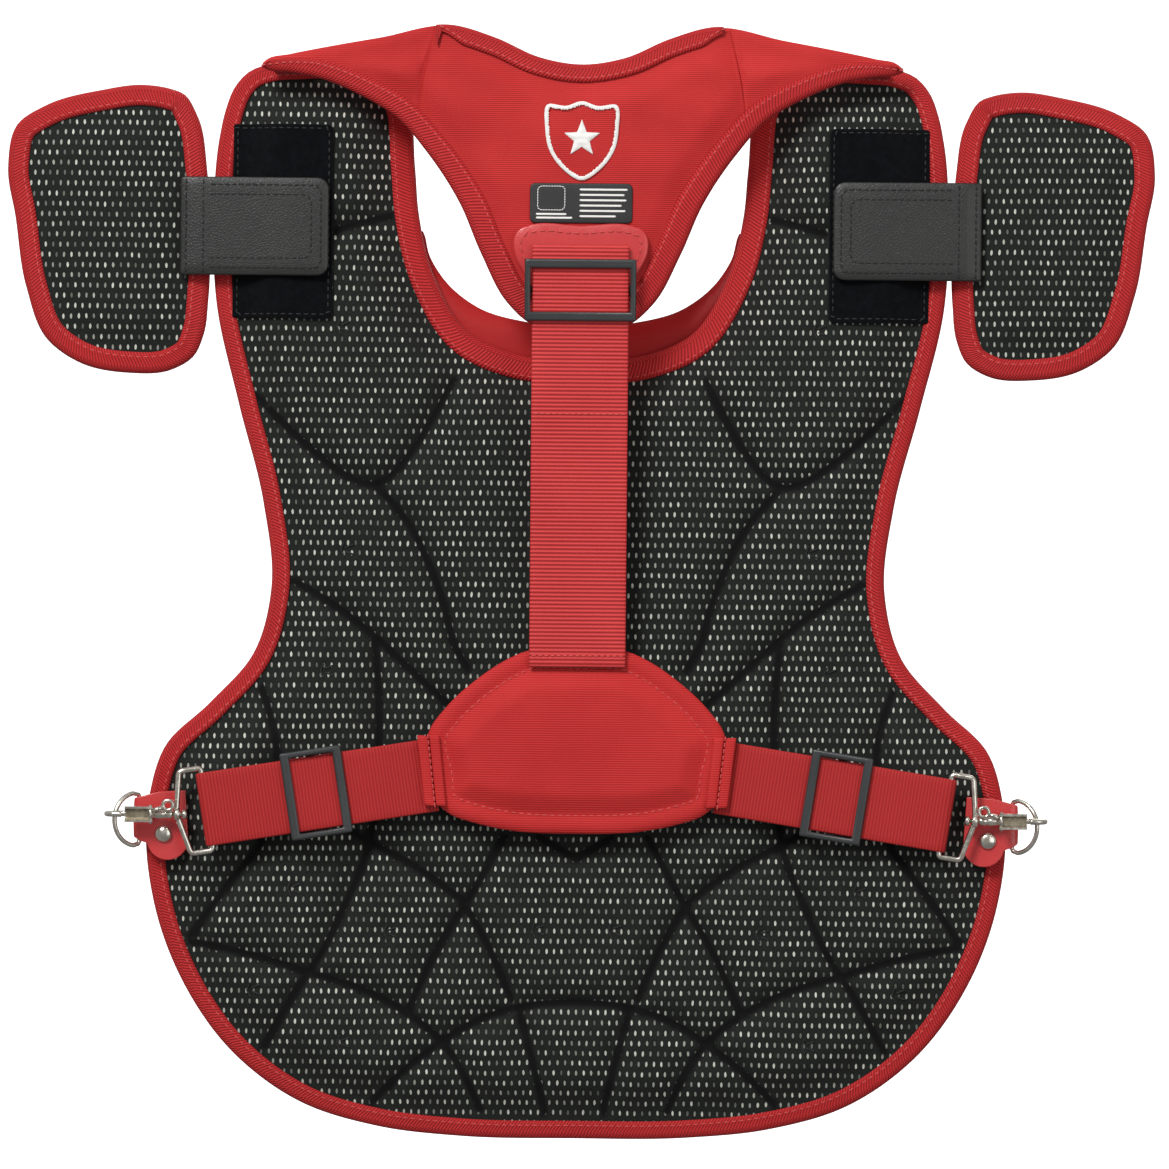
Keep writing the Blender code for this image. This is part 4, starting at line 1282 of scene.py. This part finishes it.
def turned(name, rows, body, sides, **extra):
    """A turned or tapered metal piece from its points and radii (x, y, z, radius)."""
    rows = np.array(rows, float)
    wire(name, rows[:, :3], rows[:, 3], NICKEL, body, sides, **extra)


def make_hook(side, sign):
    """Swivel pin and barrel, then the spine that curls round the D-ring."""
    _, y, z = HOOK
    barrel = [
        (200.9, 1.4), (201.2, 2.2), (202.2, 2.6), (203.3, 2.3), (203.5, 1.1), (208.2, 1.1),
        (208.4, 1.9), (208.8, 2.3), (211.5, 2.35), (212.0, 2.1), (212.6, 2.1), (213.1, 2.4),
        (216.6, 2.5), (217.4, 2.2),
    ]
    rise, bend_x = 4.4, 237.9
    spine = [(217.4, 0.0), (219.2, 1.4), (221.5, 3.6), (225.0, rise), (231, rise), (237.5, rise)]
    for a in np.radians(np.linspace(75, -92, 12)):
        spine.append((bend_x + rise * np.cos(a), rise * np.sin(a)))
    run = smooth(spine + [(234.6, -rise)], 0.9, False)[1:]
    taper = np.interp(run[:, 0], (217, 222, 232, 240), (2.1, 1.5, 1.6, 1.5))
    rows = [(x, y, z, r) for x, r in barrel]
    rows += [(x, y + d, z, r) for (x, d), r in zip(run, taper)]
    turned(
        f"snap_hook_{side}_body", rows, f"hook_{side}", 20, side=sign,
        replaces=f"snap_hook_{side}",
    )


def make_gate(side, sign):
    """The channel-shaped lever that closes the hook, on its pin, with its thumb eye."""
    _, y, z = HOOK
    pin_x, pin_y, _ = np.array(JOINTS["gate_open_right"]["pos_m"]) / MM
    body = f"gate_{side}"
    web, lip, eye_y = y - 3.2, y - 6.4, y - 3.6
    half = [(web, 4.2), (lip, 4.0), (lip, 2.9), (web - 0.8, 1.7)]
    profile = half + [(d, -h) for d, h in reversed(half)]
    verts = [(x, d, z + h) for x in (218.4, 232.8) for d, h in profile]
    faces = [(k, (k + 1) % 8, 8 + (k + 1) % 8, 8 + k) for k in range(8)]
    for cap in ((0, 3, 2, 1), (0, 7, 4, 3), (7, 6, 5, 4)):
        faces.append(cap)
    faces += [(8, 9, 10, 11), (8, 11, 12, 15), (12, 13, 14, 15)]
    made = piece(
        f"gate_{side}_channel", verts, faces, NICKEL, body, side=sign,
        replaces=f"gate_lever_{side}",
    )
    straighten(made)
    made.data.set_sharp_from_angle(angle=np.radians(30))
    # A dark sheet just over the channel's floor: painted shade in the recess, not a part of the gate.
    shade_sheet = [(x, web - 0.85, z + h) for x in (218.8, 232.6) for h in (-1.6, 1.6)]
    piece(f"gate_{side}_shade", shade_sheet, [(0, 1, 3, 2)], NICKEL_PAINTED_SHADE, body, side=sign)
    pin = [(pin_x, pin_y, z + h, 0.9) for h in (-4.8, 4.8)]
    turned(f"gate_{side}_pin", pin, body, 14, side=sign)
    turns = np.linspace(0, 2 * np.pi, 28, endpoint=False)
    eye = [(210.6 + 2.5 * np.cos(a), eye_y, z + 4.7 + 2.5 * np.sin(a), 0.95) for a in turns]
    turned(f"gate_{side}_thumb_eye", eye, body, 12, closed=True, side=sign)
    neck = [(213, eye_y, z + 3.8, 1.1), (216, eye_y, z + 2.6, 1.2), (219, eye_y, z + 1.8, 1.3)]
    turned(f"gate_{side}_thumb_neck", neck, body, 12, side=sign)


def make_ring(side, sign):
    """The D-ring, leaning towards the hook that holds it."""
    x, y, z = RING_BAR
    lean = np.arctan2(HOOK[1] - y, 12.6)
    shape = [(0, v) for v in (-9, -5, 0, 5, 9)] + [(0.2, 11.2), (0.9, 12.7)]
    for a in np.radians(np.linspace(82, -82, 30)):
        shape.append((2 + 13.3 * np.cos(a), 13.65 * np.sin(a)))
    shape += [(0.9, -12.7), (0.2, -11.2)]
    points = [(x + s * np.cos(lean), y + s * np.sin(lean), z + v) for s, v in shape]
    wire(
        f"d_ring_{side}_wire", points, WIRE - 0.1, NICKEL, f"ring_{side}", 18, True, side=sign,
        replaces=f"d_ring_{side}",
    )


def make_tab(side, sign):
    """The leather folded round the D-ring's bar, its pale cut edge and its rivet."""
    turns = np.radians(np.linspace(185, 350, 12))
    lobe = [(211.4 + 10.6 * np.cos(a), -386 + 10.6 * np.sin(a)) for a in turns]
    outline = [
        (202.5, -360.5), *lobe, (226, -386.5), (229, -384.5), (229.3, -375), (228.8, -364.6),
        (216, -361.2),
    ]
    loop = anticlockwise(resample(rejoined(np.array(outline)), 1.2, True))

    def fold(points):
        """0 up to the bar, rising to 1 where the leather turns round it."""
        roll = np.clip((points[:, 0] - RING_BAR[0]) / 3.6, 0, 1)
        return 1 - np.sqrt(np.clip(1 - roll**2, 0, 1))

    def front(points):
        return -30.8 - 2.3 * np.clip((points[:, 0] - 203) / 15, 0, 1) + 3.0 * fold(points)

    def back(points):
        return -27.2 - 2.4 * fold(points)

    padding(
        f"ring_tab_{side}_leather", loop, 2.0, front, back, LEATHER, "chest", (0.5,), side=sign,
        replaces=f"ring_tab_{side}",
    )
    inner = inset(loop, 0.55)
    rim = np.concatenate([raised(loop, front(loop) + 0.5), raised(inner, front(inner) - 0.06)])
    count = len(loop)
    faces = [(k, (k + 1) % count, count + (k + 1) % count, count + k) for k in range(count)]
    piece(f"ring_tab_{side}_edge", rim, faces, CUT_EDGE, "chest", side=sign)
    dome = [(-34.9, 0.4), (-34.8, 1.6), (-34.5, 2.9), (-34.1, 3.8), (-33.6, 4.25), (-33.1, 4.25)]
    turned(
        f"ring_rivet_{side}_dome", [(213.5, y, -383.0, r) for y, r in dome], "chest", 28,
        side=sign, replaces=f"ring_rivet_{side}",
    )


# ---------------------------------------------------------------- hidden pieces


def dress_hidden():
    """The foam and the plate keep their shape and get a finish."""
    foam = grained("foam_cells", rgb(60, 60, 60), rgb(92, 92, 90), 900.0, 0.15e-3, 0.85)
    plate = grained("heart_plate_shell", rgb(196, 196, 190), rgb(214, 214, 206), 300.0, 0.02e-3, 0.5)
    for name, node in frame["nodes"].items():
        look = foam if "foam" in name else plate if name == "heart_plate" else None
        if look is not None:
            node.data.materials.clear()
            node.data.materials.append(look)


# ---------------------------------------------------------------- stage


def make_stage():
    """A studio's surroundings, bright behind the object, with soft lamps and the camera."""
    scene = bpy.context.scene
    n = Nodes(bpy.data.worlds.new("studio"), "Background")
    direction = n.split(n.place("Generated"))
    behind = n.ramp(direction["Y"], 0.90, 0.96, 0.0, 1.2, "LINEAR")
    above = n.ramp(direction["Z"], -0.6, 0.9, 0.25, 0.5, "LINEAR")
    n.feed(n.shader, {"Strength": n.plus(behind, above), "Color": (1.0, 1.0, 1.0)})
    scene.world = n.owner
    scene.view_settings.view_transform = "Standard"
    for name, place, size, power in (
        ("key", (-1.1, -2.4, 1.7), 1.0, 80), ("fill", (1.6, -2.4, 0.0), 1.6, 14),
        ("back", (0.5, 1.2, 0.7), 1.0, 8),
    ):
        lamp = bpy.data.lights.new(name, "AREA")
        lamp.size = size
        lamp.energy = power
        light = bpy.data.objects.new(name, lamp)
        light.location = place
        aim = Vector((0, 0, -0.25)) - Vector(place)
        light.rotation_euler = aim.to_track_quat("-Z", "Y").to_euler()
        scene.collection.objects.link(light)
    distance, width = 3.0, 0.6079
    camera = bpy.data.cameras.new("camera")
    camera.sensor_width = 36.0
    camera.lens = camera.sensor_width * distance / width
    camera.clip_end = 50.0
    seat = bpy.data.objects.new("camera", camera)
    facing = Matrix.Rotation(np.radians(90), 4, "X") @ Matrix.Rotation(np.radians(0.5), 4, "Z")
    seat.matrix_world = Matrix.Translation((0.0034, -distance - 0.02, -0.252)) @ facing
    scene.collection.objects.link(seat)
    scene.camera = seat


make_body()
make_wings()
make_yoke()
make_anchor()
make_centre_strap()
make_back_pad()
make_waist()
dress_hidden()
make_stage()
